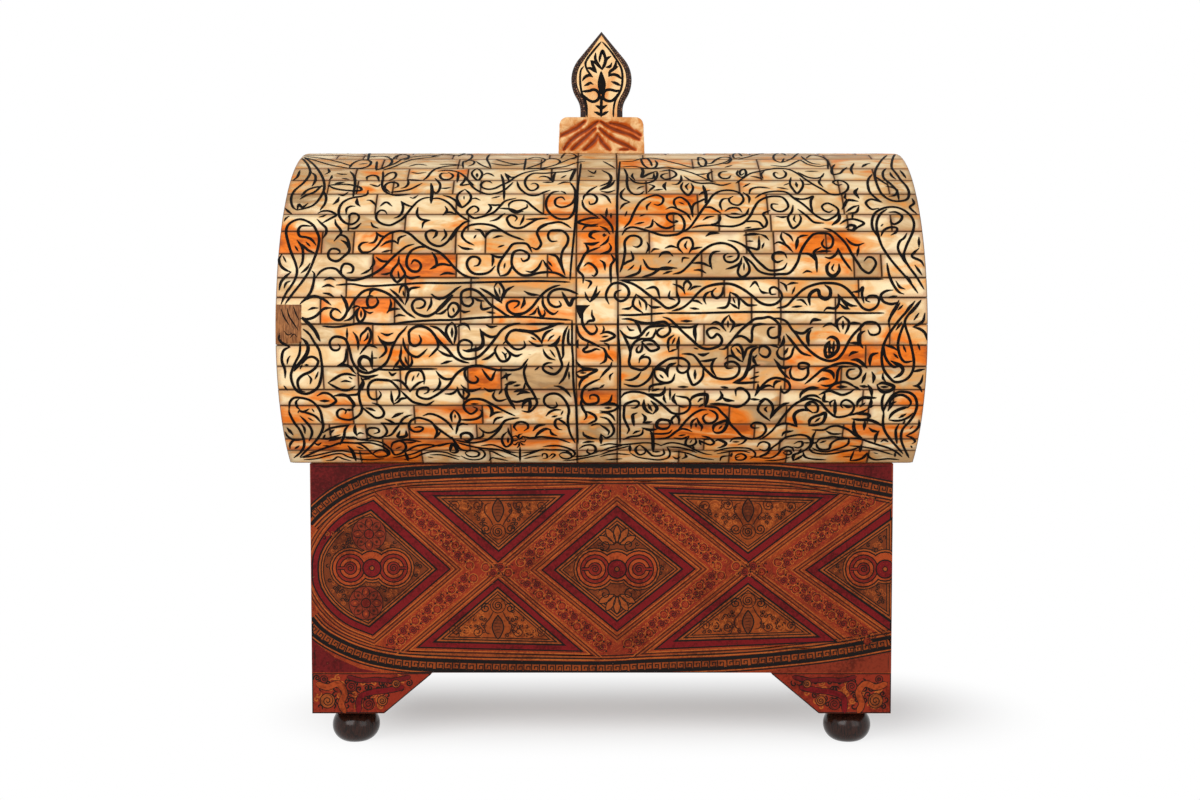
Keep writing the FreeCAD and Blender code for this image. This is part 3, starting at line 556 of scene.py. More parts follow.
class Inlay:  # plates side by side in one piece
    def __init__(self):
        self.points, self.faces, self.tones, self.rims = [], [], [], []

    def add(self, point, tone, rim):
        self.points.append(point)
        self.tones.append(tone)
        self.rims.append(rim)

    def plate(self, spanU, spanV, place, tone, dice, thick=plates["thick"]):
        rowsU, rowsV = edgeRows(*spanU), edgeRows(*spanV)
        lift = -plates["sink"] + dice.uniform(-1, 0.5) * plates["uneven"]
        tiltU, tiltV = (dice.uniform(-plates["tilt"], plates["tilt"]) for way in (spanU, spanV))
        first, lastU, lastV = len(self.points), len(rowsU) - 1, len(rowsV) - 1

        def number(i, j):
            return first + i * len(rowsV) + j

        for i, (u, dropU, rimU) in enumerate(rowsU):
            for j, (v, dropV, rimV) in enumerate(rowsV):
                height = lift - max(dropU, dropV) - 0.25 * min(dropU, dropV)
                height += tiltU * (i / lastU - 0.5) + tiltV * (j / lastV - 0.5)
                self.add(place(u, v, height), tone(u, v), min(rimU, rimV))
        for i in range(lastU):
            for j in range(lastV):
                self.faces.append((number(i, j), number(i + 1, j), number(i + 1, j + 1), number(i, j + 1)))
        loop = [(i, 0) for i in range(lastU)] + [(lastU, j) for j in range(lastV)]
        loop += [(i, lastV) for i in range(lastU, 0, -1)] + [(0, j) for j in range(lastV, 0, -1)]
        low = len(self.points)
        for i, j in loop:
            u, v = rowsU[i][0], rowsV[j][0]
            self.add(place(u, v, -thick), tone(u, v), 0.0)
        for k, spot in enumerate(loop):
            n = (k + 1) % len(loop)
            self.faces.append((number(*spot), low + k, low + n, number(*loop[n])))
        self.faces.append(tuple(low + k for k in reversed(range(len(loop)))))

    def settle(self, name):
        item = piece(name.replace("_", "") + "Plates", self.points, self.faces, "plates", "lid")
        keepColour(item, "tone", self.tones)
        keepValue(item, "rim", self.rims)
        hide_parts(name)


def bandPlates(name):
    inlay = Inlay()
    for number, part in enumerate(looseParts(name)):
        dice = random.Random(f"{name}{number}")
        tops = []
        for p in part:
            arc = arcOf(p.y, p.z)
            face = onBarrel(0, arc, 0)
            if math.hypot(p.y - face.y / mm, p.z - face.z / mm) < 0.5:  # the outer side of the plate
                tops.append(arc)
        spanU = [min(p.x for p in part), max(p.x for p in part)]
        spanV = [min(tops), max(tops)]
        for span, limit in ((spanU, barrel["half"]), (spanV, halfArc)):
            for end, side in ((0, 1), (1, -1)):
                if abs(span[end]) > limit - plates["rim"]:
                    span[end] += side * plates["rimGap"]
                else:
                    span[end] += side * dice.uniform(*plates["joint"])
        tone = plateTone(dice, (sum(spanU) / 2, sum(spanV) / 2))
        inlay.plate(spanU, spanV, onBarrel, tone, dice)
    inlay.settle(name)


def endPlates(name, side):
    inlay = Inlay()
    outer, step = side * barrel["half"], plates["endStep"]
    rings = [(0.0, plates["thick"]), (step, plates["edge"][0][1])]
    rings += [(inward + step, drop) for inward, drop in plates["edge"][1:]]
    for number, part in enumerate(looseParts(name)):
        dice = random.Random(f"{name}{number}")
        flat = [Vector((p.y, p.z)) for p in part if abs(p.x - outer) < 0.1]
        middle = sum(flat, Vector((0, 0))) / len(flat)
        flat.sort(key=lambda p: math.atan2(p.y - middle.y, p.x - middle.x))
        tone = (dice.random() ** 2.4 * 0.8, dice.random() ** 1.6, dice.random(), 1.0)
        lift = plates["endLift"][0] + dice.uniform(0, plates["endLift"][1])
        first, count = len(inlay.points), len(flat)
        for inward, drop in rings:
            for p in flat:
                toward = middle - p
                p = p + toward * min(inward * 1.2 / max(toward.length, 0.1), 0.8)
                inlay.add(Vector((outer - side * (drop + lift), p.x, p.y)) * mm, tone, inward)
        loops = [[first + ring * count + k for k in range(count)] for ring in range(len(rings))]
        for low, high in zip(loops, loops[1:]):
            for k in range(count):
                n = (k + 1) % count
                quad = (low[k], low[n], high[n], high[k])
                inlay.faces.append(quad if side > 0 else quad[::-1])
        inlay.faces.append(tuple(loops[-1] if side > 0 else loops[-1][::-1]))
    inlay.settle(name)


for name in sorted(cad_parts):
    if name.startswith("bone_band"):
        bandPlates(name)
endPlates("bone_end_left", -1)
endPlates("bone_end_right", 1)
mend = {"inner": 302, "low": 344, "high": 304, "end": 0.1, "lift": 0.16, "thick": 0.5, "line": 0.8, "level": 0.09}


def veneerMend():  # a scrap of wood let into the bone at the left end
    inner, low = onLid(mend["inner"], mend["low"])
    high = onLid(mend["inner"], mend["high"])[1]
    inlay = Inlay()
    inlay.plate(
        (mend["end"] - barrel["half"], inner), (low, high),
        lambda u, v, height: onBarrel(u, v, height + mend["lift"]),
        lambda along, arc: (0.0, 0.0, 0.0, 1.0), random.Random("mend"), mend["thick"],
    )
    piece("veneerMend", inlay.points, inlay.faces, "mend", "lid")


veneerMend()
print("bone plates laid")


# Strokes and fields that are drawn flat and then laid on a face

def pairs(points):
    return list(zip(points[::2], points[1::2]))


def ringOf(items):  # each item with the one after it, back to the first
    return zip(items, items[1:] + items[:1])


def plain(spots):
    return [tuple(p) for p in spots]


def smoothPath(points, gap):  # an even curve through the drawn points
    if len(points) < 3:
        (a, b), (c, d) = points
        count = max(int(math.hypot(c - a, d - b) / gap), 1)
        return [(a + (c - a) * i / count, b + (d - b) * i / count) for i in range(count + 1)]
    knots = [Vector(p) for p in points]
    knots = [2 * knots[0] - knots[1]] + knots + [2 * knots[-1] - knots[-2]]
    path = []
    for p0, p1, p2, p3 in zip(knots, knots[1:], knots[2:], knots[3:]):
        t1 = max((p1 - p0).length, 1e-4) ** 0.5
        t2 = t1 + max((p2 - p1).length, 1e-4) ** 0.5
        t3 = t2 + max((p3 - p2).length, 1e-4) ** 0.5
        count = max(int((p2 - p1).length / gap), 2)
        for i in range(count):
            t = t1 + (t2 - t1) * i / count
            a1 = p0 * (t1 - t) / t1 + p1 * t / t1
            a2 = p1 * (t2 - t) / (t2 - t1) + p2 * (t - t1) / (t2 - t1)
            a3 = p2 * (t3 - t) / (t3 - t2) + p3 * (t - t2) / (t3 - t2)
            b1 = a1 * (t2 - t) / t2 + a2 * t / t2
            b2 = a2 * (t3 - t) / (t3 - t1) + a3 * (t - t1) / (t3 - t1)
            spot = b1 * (t2 - t) / (t2 - t1) + b2 * (t - t1) / (t2 - t1)
            path.append((spot.x, spot.y))
    return path + [tuple(points[-1])]


brush = {"layer": 0.0015, "layers": 9, "taper": 0.16, "shake": 0.13, "beat": 0.21, "tip": 0.28}
blunt = (1, 1)  # ends of a stroke that doesn't taper


class Drawing:
    def __init__(self, seed):
        self.points, self.faces, self.coats = [], [], []
        self.dice = random.Random(seed)
        self.count = 0

    def add(self, spot, level, coat):
        self.points.append((*spot, level))
        self.coats.append(coat)
        return len(self.points) - 1

    def raised(self, level):  # no two neighbours lie in one plane
        self.count += 1
        return level + brush["layer"] * (self.count % brush["layers"])

    def stroke(self, path, width, coat, level=0.0, ends=(0.35, 0.35), swell=0.0, closed=False):
        level = self.raised(level)
        spots = [Vector(p) for p in path]
        if closed:
            spots.append(spots[0])
        last = len(spots) - 1
        seed = self.dice.random() * 99
        rows = []
        for i, spot in enumerate(spots):
            ahead = spots[min(i + 1, last)] - spots[max(i - 1, 0)]
            if closed and i in (0, last):
                ahead = spots[1] - spots[last - 1]
            t = i / last
            grow = brush["taper"] * last
            taper = 1.0 if closed else min(1.0, ends[0] + t * grow, ends[1] + (1 - t) * grow)
            shake = brush["shake"] * noise.noise((seed, i * brush["beat"], 0))
            wide = width * taper * (1 + swell * math.sin(math.pi * t) + shake)
            side = Vector((-ahead.y, ahead.x)).normalized() * wide / 2
            rows.append((self.add(spot + side, level, coat), self.add(spot - side, level, coat)))
        for (a, b), (c, d) in zip(rows, rows[1:]):
            self.faces.append((b, d, c, a))
        if not closed:
            for row, spot, near in ((rows[0], spots[0], spots[1]), (rows[-1][::-1], spots[-1], spots[-2])):
                tip = spot + (spot - near).normalized() * width * brush["tip"]
                self.faces.append((row[0], self.add(tip, level, coat), row[1]))

    def fill(self, outline, coat, level=0.0):
        level = self.raised(level)
        first = [self.add(p, level, coat) for p in outline]
        for tri in geometry.tessellate_polygon([[Vector((a, b, 0)) for a, b in outline]]):
            a, b, c = (Vector(outline[i]) for i in tri)
            turn = (b - a).x * (c - a).y - (b - a).y * (c - a).x
            self.faces.append(tuple(first[i] for i in (tri if turn > 0 else reversed(tri))))

    def ring(self, a, b, radius, width, coat):
        self.stroke(circle(a, b, radius, max(int(radius * 9), 14)), width, coat, closed=True)

    def disc(self, a, b, radius, coat, level=0.0):
        self.fill(circle(a, b, radius, 20), coat, level)

    def lay(self, name, place, finish, body):
        item = piece(name, [place(*p) for p in self.points], self.faces, finish, body)
        keepColour(item, "coat", self.coats)


def circle(a, b, radius, count):
    turns = (2 * math.pi * i / count for i in range(count))
    return [(a + radius * math.cos(turn), b + radius * math.sin(turn)) for turn in turns]


def curl(a, b, radius, start, turns, hand, shrink=0.86):  # a spiral that winds in from its rim
    count = max(int(abs(turns) * 22), 8)
    path = []
    for i in range(count + 1):
        t = i / count
        reach = radius * (1 - shrink * t ** 0.85)
        angle = math.radians(start) + hand * 2 * math.pi * turns * t
        path.append((a + reach * math.cos(angle), b + reach * math.sin(angle)))
    return path


def spokes(turn):  # the directions away from a middle and across it
    return Vector((math.cos(turn), math.sin(turn))), Vector((-math.sin(turn), math.cos(turn)))


ink = (0.0, 0.0, 0.0, 1.0)


# Scrollwork on the lid

scroll = {"height": -0.12, "line": 1.34, "gap": 0.7}
upperLines = (  # scrollwork above the middle, as points of the frame
    (302,158,308,165,310,173,304,182,294,191,291,199,293,207,297,210),
    (304,157,317,168,324,182,323,192,313,205,297,210), (311,172,315,175,315,181,312,186),
    (323,186,315,187,307,190,301,196), (300,199,306,195,314,192,322,185), (297,210,299,204,302,207,308,203),
    (324,191,326,197,325,203,320,210), (293,180,297,177,300,170), (285,208,288,211,292,214),
    (284,221,286,218,289,216), (359,164,367,163), (370,153,368,160),
    (349,168,353,163,360,160,368,160,371,162,368,166,360,168,349,168), (377,161,376,170),
    (370,157,380,156,388,157,392,161,389,165,382,168,376,170), (393,159,396,156,402,154,408,155,408,158,404,160),
    (328,168,329,172,325,174), (337,173,342,174,347,174), (332,175,331,178,329,180),
    (350,171,354,176,355,183,354,190,353,197), (342,178,349,179),
    (328,185,334,188,345,190,361,190,361,188,357,186,345,184,328,185), (338,194,343,195,348,192),
    (367,180,367,177,372,175,377,176,379,181), (370,184,378,186,380,184),
    (383,171,383,178,382,184,384,190,388,193,395,195,410,194), (384,177,389,173,394,172,396,174,394,178,389,180),
    (390,192,385,188,386,184,391,182,397,183,398,186,394,188), (390,192,400,191,410,189,422,183),
    (408,179,408,184,405,187,401,188), (408,179,416,180,423,180), (423,180,427,177,431,172,437,168,446,166,458,165),
    (410,197,413,198,418,195), (346,214,347,208,351,206,355,206), (348,228,355,228,361,223),
    (368,190,367,194,362,196,355,197,348,199,342,203,339,209,339,215,342,220,346,223,352,224,357,221,359,217,357,214,
     352,213,349,216,349,219),
    (367,200,370,200,374,203,376,206), (380,206,386,202,392,206),
    (387,214,385,211,381,210,377,213,376,217,378,221,383,224,390,225,397,222,403,218,408,212,413,206,418,201,424,198,
     432,197),
    (401,201,403,206,402,212,399,216,394,218), (401,201,405,204,411,206,414,205), (418,207,417,214,421,219,430,220),
    (430,220,424,222,422,228), (371,222,373,226,378,228), (318,213,322,211,330,211,336,215,331,218,322,223),
    (319,217,323,216,327,214), (317,219,322,224,326,228,326,233,323,238), (335,219,336,224,340,229,341,233,336,238),
    (438,171,446,170,455,171,462,174,468,180,473,187,479,191,488,194,496,193,
     504,190,509,186,513,182),
    (448,173,442,173,440,176,443,179,449,179,453,176,452,174,448,172), (458,172,458,177,457,182),
    (465,177,464,181,461,185,470,184,474,185), (465,177,470,182,474,185),
    (477,168,472,172,473,176,478,180,482,175,481,171,
     477,168), (483,175,487,173,491,174,494,176),
    (492,183,489,181,485,181,481,184,482,187,488,189,495,188,501,185,508,182,
     515,177,523,173,531,171,538,170),
    (501,174,503,180,504,190,504,200), (505,173,508,178,509,181), (505,173,511,177,516,176),
    (576,168,567,171,556,172,544,173,534,173,528,176,525,181,526,186,530,190,534,190,538,187,537,184,534,183,531,184),
    (539,177,543,176,548,177,553,182), (553,182,554,175,556,172), (543,182,548,182,553,182), (561,178,566,175),
    (558,184,564,182,570,182), (517,181,519,187,524,192,530,195,537,195,544,192,550,190),
    (559,191,553,192,548,197,546,203,547,209,551,214,557,218,563,219,569,218,573,213,575,207,575,198,575,190,570,182),
    (575,190,575,197,572,203,567,206,561,207,556,205,555,201,557,198,562,197,565,200), (561,191,564,192,566,194),
    (435,178,440,184,439,190,436,193,433,190), (440,188,446,188,451,187),
    (465,189,459,193,457,198,459,203,462,207,468,203,471,198,470,194,465,189), (464,196,464,199),
    (443,195,450,197,456,201,459,206,462,208), (471,199,475,198,480,200), (492,198,500,196),
    (430,199,437,198,444,200,450,204,455,210,460,215,466,219,470,221), (445,206,447,210,443,215),
    (443,214,449,212,456,214),
    (474,213,478,211,478,208,474,206,470,208,467,212,469,215,474,218,480,217,487,215,494,212,500,206,505,201,516,198),
    (488,204,491,207,489,211,485,214), (488,204,495,205,503,204),
    (509,208,509,204,513,201,520,200,526,201,532,206,540,212,
     546,215),
    (527,204,527,207,523,209,517,211,511,209,499,208), (490,221,497,219,502,215,505,213),
    (515,221,517,218,515,216,511,215,507,218,508,222,511,226,517,228,523,227,530,223,538,219,548,218),
    (524,215,523,219,520,225), (526,219,533,219,540,218), (537,233,538,229,543,225,551,223,560,222,567,225,571,228),
    (451,240,455,233,460,226,465,222,470,221), (602,170,609,174,611,179,608,185,600,189), (615,180,610,186,600,190),
    (600,194,606,196,611,203), (641,158,642,162,645,166,650,168,655,167,657,163,655,160),
    (641,159,646,158,650,161,652,166), (698,161,699,157,703,158,706,162,704,166,700,165,698,161),
    (706,163,711,163,715,160,722,157,728,157,731,159,727,163,
     720,163), (725,167,732,165),
    (624,168,627,175,627,184,629,190,634,194,640,194,644,191),
    (629,177,635,182,644,183,653,181,
     657,176,657,171), (647,178,653,178,654,173), (633,173,632,176,635,180),
    (637,189,640,187,644,186), (649,184,654,186,651,189,648,192),
    (668,173,663,174,661,176,665,179,671,178,676,175,675,172,670,170,660,171), (681,175,681,180,677,184,672,184),
    (654,190,663,189), (683,182,681,187,684,192,688,195,692,191,693,187,691,183), (689,183,686,186,688,190),
    (624,228,630,221,633,214,636,208,641,201,648,197,657,195,663,198,662,203,658,205,654,204),
    (651,202,647,206,647,210), (625,188,621,193,622,198,630,202), (630,202,624,204,620,209), (627,211,625,216),
    (635,224,644,222), (640,216,645,214), (677,208,674,203,675,199,680,197,687,201,691,208,693,217),
    (679,202,684,204), (693,217,692,212,694,204,700,201,705,199,705,203), (699,195,703,192,710,190),
    (666,209,672,207,680,210,687,214,691,220),
    (675,220,678,221,672,222,667,218,668,214,674,213,680,215,684,221,684,228,680,233,672,235,662,235,652,232,642,229,
     632,227,626,229,622,235),
    (653,219,651,226,645,228), (654,221,660,226,667,228,675,225),
    (680,233,689,228,696,219,702,210,708,202,713,195,720,191,729,190,738,192,743,197,743,201,738,205,731,203,729,199,
     733,196),
    (749,203,749,197,743,192), (722,210,720,204,723,199,728,198), (724,214,731,217,739,217,746,214,749,208),
    (725,211,730,208,738,208,742,212), (731,213,740,214), (702,208,710,207,716,210,721,213),
    (703,220,708,217,714,216), (720,214,720,219,717,223,711,224),
    (692,228,698,226,711,225,722,226,734,226,743,223,750,216,754,208,759,201,767,197,775,196,782,197,787,202,788,207,
     783,211,777,211,772,208,772,204,778,204),
    (744,222,752,221,759,222,764,227,767,223,765,217,
     763,214,770,210), (744,230,756,229,764,228),
    (745,228,751,227), (713,171,709,173,708,177,711,181,716,182), (727,171,721,172,719,175,722,178,728,178,731,175),
    (744,173,741,175,740,171,744,169,746,172,745,176,741,177,737,174,738,170),
    (684,176,692,181,700,183,711,183,722,185,731,183),
    (736,183,743,178,751,173,760,171,770,169,777,168,788,169,797,173,804,178,813,184,822,189,831,194,840,194,847,190,
     848,185,843,181,837,180,833,182,838,185,842,184),
    (696,174,702,174,708,173), (751,176,757,177,763,179), (743,187,750,183), (749,194,751,189,758,187,770,188),
    (755,198,761,194,767,192,776,191,786,192,794,198,803,204,811,211,817,216,826,220,832,218,838,213,838,209,833,205,
     827,203,822,206,824,210,829,212,833,210),
    (778,173,775,172,774,175,778,178,784,177,786,173,783,170), (763,178,761,174,764,171),
    (798,172,808,177,816,178,821,177,824,173), (821,178,819,182,823,187),
    (791,177,790,184,793,189,797,193,802,188,803,183,
     800,178), (784,185,789,183), (804,184,812,184),
    (793,197,801,199,808,198,813,196,811,200,811,206,813,212),
    (793,205,792,211,788,217,789,222,793,228,799,224,801,218,799,214), (795,215,794,220,796,222),
    (776,216,782,217,788,216), (798,209,807,216,814,222,824,223), (846,212,853,207,859,205),
    (848,213,856,212,859,206), (846,193,845,198,848,200), (853,213,852,219),
    (840,224,846,220,854,219,864,223,858,227,855,230), (881,202,871,199,866,202,867,205,872,209,879,208),
    (835,164,832,168,833,174,840,173,843,170,847,167), (853,174,851,169,854,163),
    (887,155,880,162,875,172,876,181,879,189,883,195,891,200,899,201,907,199,909,193,907,187,901,180,896,173,892,168,
     892,161,895,154),
    (872,174,868,180,868,186,870,192,876,198,882,202), (886,168,883,172,884,178,891,184,897,191,899,200),
    (875,176,882,181,888,185), (886,186,892,187,897,190,895,195,889,196), (890,172,892,176,896,179),
    (900,170,904,175,906,178),
    (918,293,906,277,897,267,889,257,882,246,878,236,873,229,872,221,875,213,881,209,888,207,896,207,904,210,911,216,
     914,223,913,231,911,236,906,247,904,256,908,265,916,276,924,289),
    (880,238,877,230,877,221,881,213,887,209), (889,212,896,212,902,216,900,221,894,224,891,222,891,219),
    (881,226,883,224), (881,236,884,230,891,227,897,228,896,232,
     891,235),
    (907,233,904,238,900,241,898,248,902,257,906,264), (912,198,914,203,910,207,917,214), (919,237,919,247),
    (281,304,286,293,291,286,295,279,297,271,295,262,291,252,288,242,286,231,288,225,293,221,300,219,307,221,313,225,
     317,232,319,238,318,247,314,259,309,271,301,283,293,293,285,304),
    (312,226,301,226,298,231,300,236,306,237,311,239,316,245), (297,240,302,247,303,255,302,263,299,268),
    (302,244,308,250,315,253), (306,242,310,246), (295,246,298,251), (282,254,279,259,281,266,286,270,291,272),
    (291,272,286,276,281,282,279,290), (283,256,286,262), (284,288,286,283,290,281), (301,273,307,268,310,263),
    (312,271,314,273,314,279,311,291,307,297,300,304),
    (334,241,340,235,346,237,349,244,349,251,344,256,337,261,330,259,328,254,331,249,337,249,340,252,337,254),
    (341,240,346,243,348,248),
    (316,277,321,271,328,268,336,269,341,274,347,279,354,280,363,278,373,274,382,268,391,259,400,251,407,246,414,244),
    (342,274,341,269,344,264,349,264,353,267,352,272,347,273), (373,257,374,263,370,268), (361,274,366,272,372,268),
    (376,257,382,261,390,261), (324,280,330,278,335,280), (322,287,328,285,334,287),
    (399,256,398,263,393,269,391,274,393,278,397,282,402,278,405,274,402,268,399,262), (398,271,399,278),
    (381,274,386,274,
     391,272),
    (370,252,377,246,383,238,390,233,397,231,403,231,410,234,418,241,429,248,439,252,447,259,454,267,462,274,469,277,
     479,278),
    (368,242,362,243,359,247,362,252,368,252,372,250), (376,232,377,236,374,242,369,243), (376,232,381,236,387,236),
    (381,246,387,242,394,241,398,244), (398,244,399,238,406,235), (382,252,391,250),
    (428,247,419,247,411,251,407,258,407,266,
     412,271,418,271,421,266,419,262,414,260,411,264),
    (432,252,436,259,436,266,431,269), (404,274,410,278,420,276),
    (434,237,437,232,431,230,426,233,427,239,432,244,440,246,447,242,452,235,456,229,460,225),
    (323,293,329,294,334,297), (301,302,308,298,314,296,323,299,331,305), (308,310,313,308,318,308),
    (348,312,352,304,358,296,364,291,373,289,382,291,
     390,295,398,303,406,312,415,318),
    (373,296,369,296,367,302,369,307,374,307,378,302,376,297), (369,296,371,291,377,289),
    (390,299,391,304,389,310,387,313), (387,312,393,309,400,309), (399,293,401,287,404,285,407,288,408,296,405,305),
    (403,291,404,296), (390,289,398,296,404,304), (407,296,410,289,420,287), (431,297,431,304,427,311),
    (432,294,436,298,440,300),
    (416,308,420,308,424,306,425,302,421,299,415,300,412,305,414,311,420,315,428,316,436,312,441,308,447,302,453,295),
    (444,229,446,235,441,241),
    (474,245,466,241,462,236,463,231,468,226,476,224,485,224,494,226,501,230,510,235,524,240),
    (475,229,480,230,483,234,485,238), (485,238,488,233,493,230,501,231), (458,245,463,248,473,249),
    (493,238,499,236,503,236), (498,247,504,245),
    (474,266,478,265,480,260,477,257,471,257,467,262,468,268,473,273,481,274,489,272,495,266),
    (430,269,435,266,442,264,453,266), (440,275,446,273,455,274), (492,254,493,260,492,266),
    (490,254,498,257,505,256), (500,276,498,270,499,264,503,257,508,250,513,244,520,243,527,244,532,252),
    (500,276,507,274,511,268,512,264), (505,263,504,268),
    (521,258,523,261,528,259,529,255,526,252,520,250,514,252,512,257,512,265,516,271,522,275,530,275,538,273,548,272,
     556,273,567,278),
    (526,271,532,272,538,268,542,260), (543,260,547,266,552,271), (548,254,556,256,560,263,565,275),
    (548,261,552,266), (547,225,540,228,537,232,539,238,541,244,537,249,531,247),
    (557,241,551,241,548,236,550,231,556,230,
     563,231,568,237,567,244,563,250,561,258,562,266,565,275),
    (431,294,437,298,443,298,450,294,456,289,461,286), (434,314,441,306,447,300,452,295),
    (466,298,471,297,473,302,469,306,463,304,461,298,462,292,469,289,477,291,483,296,490,304,499,310,508,316,513,317),
    (480,288,489,293,497,299,502,303), (481,301,482,309,492,307), (473,297,478,300,484,301),
    (494,287,498,282,502,286,504,291,502,298,501,303), (494,287,496,293,500,300), (499,288,500,294),
    (504,297,506,291,510,288,
     514,286),
    (514,308,518,305,519,302,512,301,507,304,508,310,514,314,524,313,532,307,539,298,546,291,553,287,560,285),
    (524,291,530,294,539,295), (559,301,561,305,556,307,550,304,548,298,551,292,558,289,568,290,578,294),
    (487,312,495,313), (543,296,543,304,549,312,554,314,558,311), (585,243,588,249,585,255),
    (600,247,592,250,586,253,581,262,578,270,583,276,583,283), (584,266,588,263,594,266,597,272,594,276,592,275),
    (585,280,591,282,588,288), (597,286,595,293,590,302), (585,292,587,298,590,302), (600,291,596,296,590,302),
    (600,246,607,241,609,236), (609,243,611,247,609,251,600,254), (600,260,604,263,605,270),
    (611,254,614,260,611,265,611,284),
    (633,246,637,247,641,244,641,239,637,236,630,236,625,241,
     625,251,623,263,620,272),
    (631,251,633,259,627,262,622,266), (628,270,631,268,634,265), (625,277,633,275,639,272,641,265),
    (647,242,649,247,646,253), (651,252,654,249,659,249), (659,257,662,253,668,252,673,256),
    (665,248,671,246,678,248), (683,253,678,247,679,242,684,238,690,238,693,245,689,253), (687,241,685,246,687,249),
    (690,250,696,248,702,247),
    (673,274,681,272,689,265,697,256,706,248,714,244,723,243,732,246,738,252,738,258,732,262,726,261,724,256,728,253),
    (727,257,733,256), (712,269,710,262,711,255,714,252,720,251), (692,263,702,263,711,267),
    (694,270,700,270,706,273), (682,262,683,258,689,258), (726,269,733,267,740,263,742,257),
    (743,256,749,266,749,272,742,277,738,273,739,267,742,263), (744,263,744,270),
    (728,240,737,242,746,247,754,257,761,264,769,270,778,270,784,268,787,263),
    (744,256,752,263,759,271,768,274,780,274,789,273,797,263,801,251,807,241,814,234,822,233,829,234,833,239,831,247,
     826,248,822,244,824,239),
    (743,246,752,248,758,249,759,236), (747,241,753,241), (760,234,765,236,769,240),
    (643,259,649,268,662,269,672,269), (642,277,652,274,662,268,677,268), (663,274,668,272,672,271),
    (668,263,671,260),
    (621,290,616,292,615,297,620,301,626,299,629,293,627,287,620,283,612,284,607,291,606,297,609,304),
    (622,281,631,283,640,288,649,295,659,302,667,308,673,307,679,302,678,296,677,291), (670,291,669,297,675,300),
    (646,289,654,287,657,289,660,299), (636,294,633,305,643,313), (636,294,642,299,646,303,646,310),
    (639,300,641,307), (622,309,630,308,633,304), (648,304,652,307,661,307),
    (672,311,682,308,691,301,698,293,706,287,718,284,731,284,741,288,750,294,761,303,770,305,777,303,782,297,780,291,
     774,287,770,289,771,294,776,294),
    (716,288,712,292,713,296,717,298,722,294,
     723,287), (711,291,706,294,704,299,706,304),
    (691,301,697,301,702,304), (690,308,699,309), (684,288,684,284,687,281,691,285,
     688,290),
    (673,284,679,286,683,289,685,294), (690,290,694,287,701,286), (730,292,729,302,726,307,717,308),
    (730,292,738,297,739,309), (730,303,739,309), (733,298,735,303), (739,297,744,302,748,305,757,305),
    (759,288,762,292,769,293), (750,287,755,282,759,287), (783,260,777,262,773,259,773,255,778,252,784,253,787,258),
    (774,244,778,242,786,245,793,252), (782,232,781,237,786,244), (783,232,790,236,793,241),
    (797,239,801,236,808,235), (802,253,809,254,814,258,817,263), (817,272,816,258,814,252,821,247),
    (816,252,823,251,831,251), (803,273,807,271,812,272),
    (824,228,831,230,840,237,847,245,852,254,858,263,862,269,869,273,874,268,876,263,873,258,868,257,864,261),
    (846,238,851,243,857,245,864,243), (859,246,857,256), (838,248,836,254,830,258,825,257),
    (838,248,842,257,852,271), (834,264,832,269,834,271), (919,248,912,256,921,261,924,266),
    (887,263,889,274,893,284,899,292,904,294), (896,281,900,287,
     905,289), (915,265,922,275), (907,276,912,283),
    (777,308,786,306,794,298,804,289,813,285,823,283,838,284,846,288,852,294,858,302,863,308,870,310,877,306,879,299,
     876,296,869,296,866,300,870,302),
    (780,282,785,285,787,291), (787,285,792,283,798,283), (795,287,792,294), (797,300,802,300,807,305),
    (792,307,802,306), (838,294,849,309), (838,294,839,302,836,308,827,308,824,311), (839,303,845,308,850,309),
    (844,300,850,305,857,306), (852,292,859,291,863,287,862,294,864,303),
    (893,290,886,291,881,295,883,301,891,304,899,302), (889,297,897,296),
)
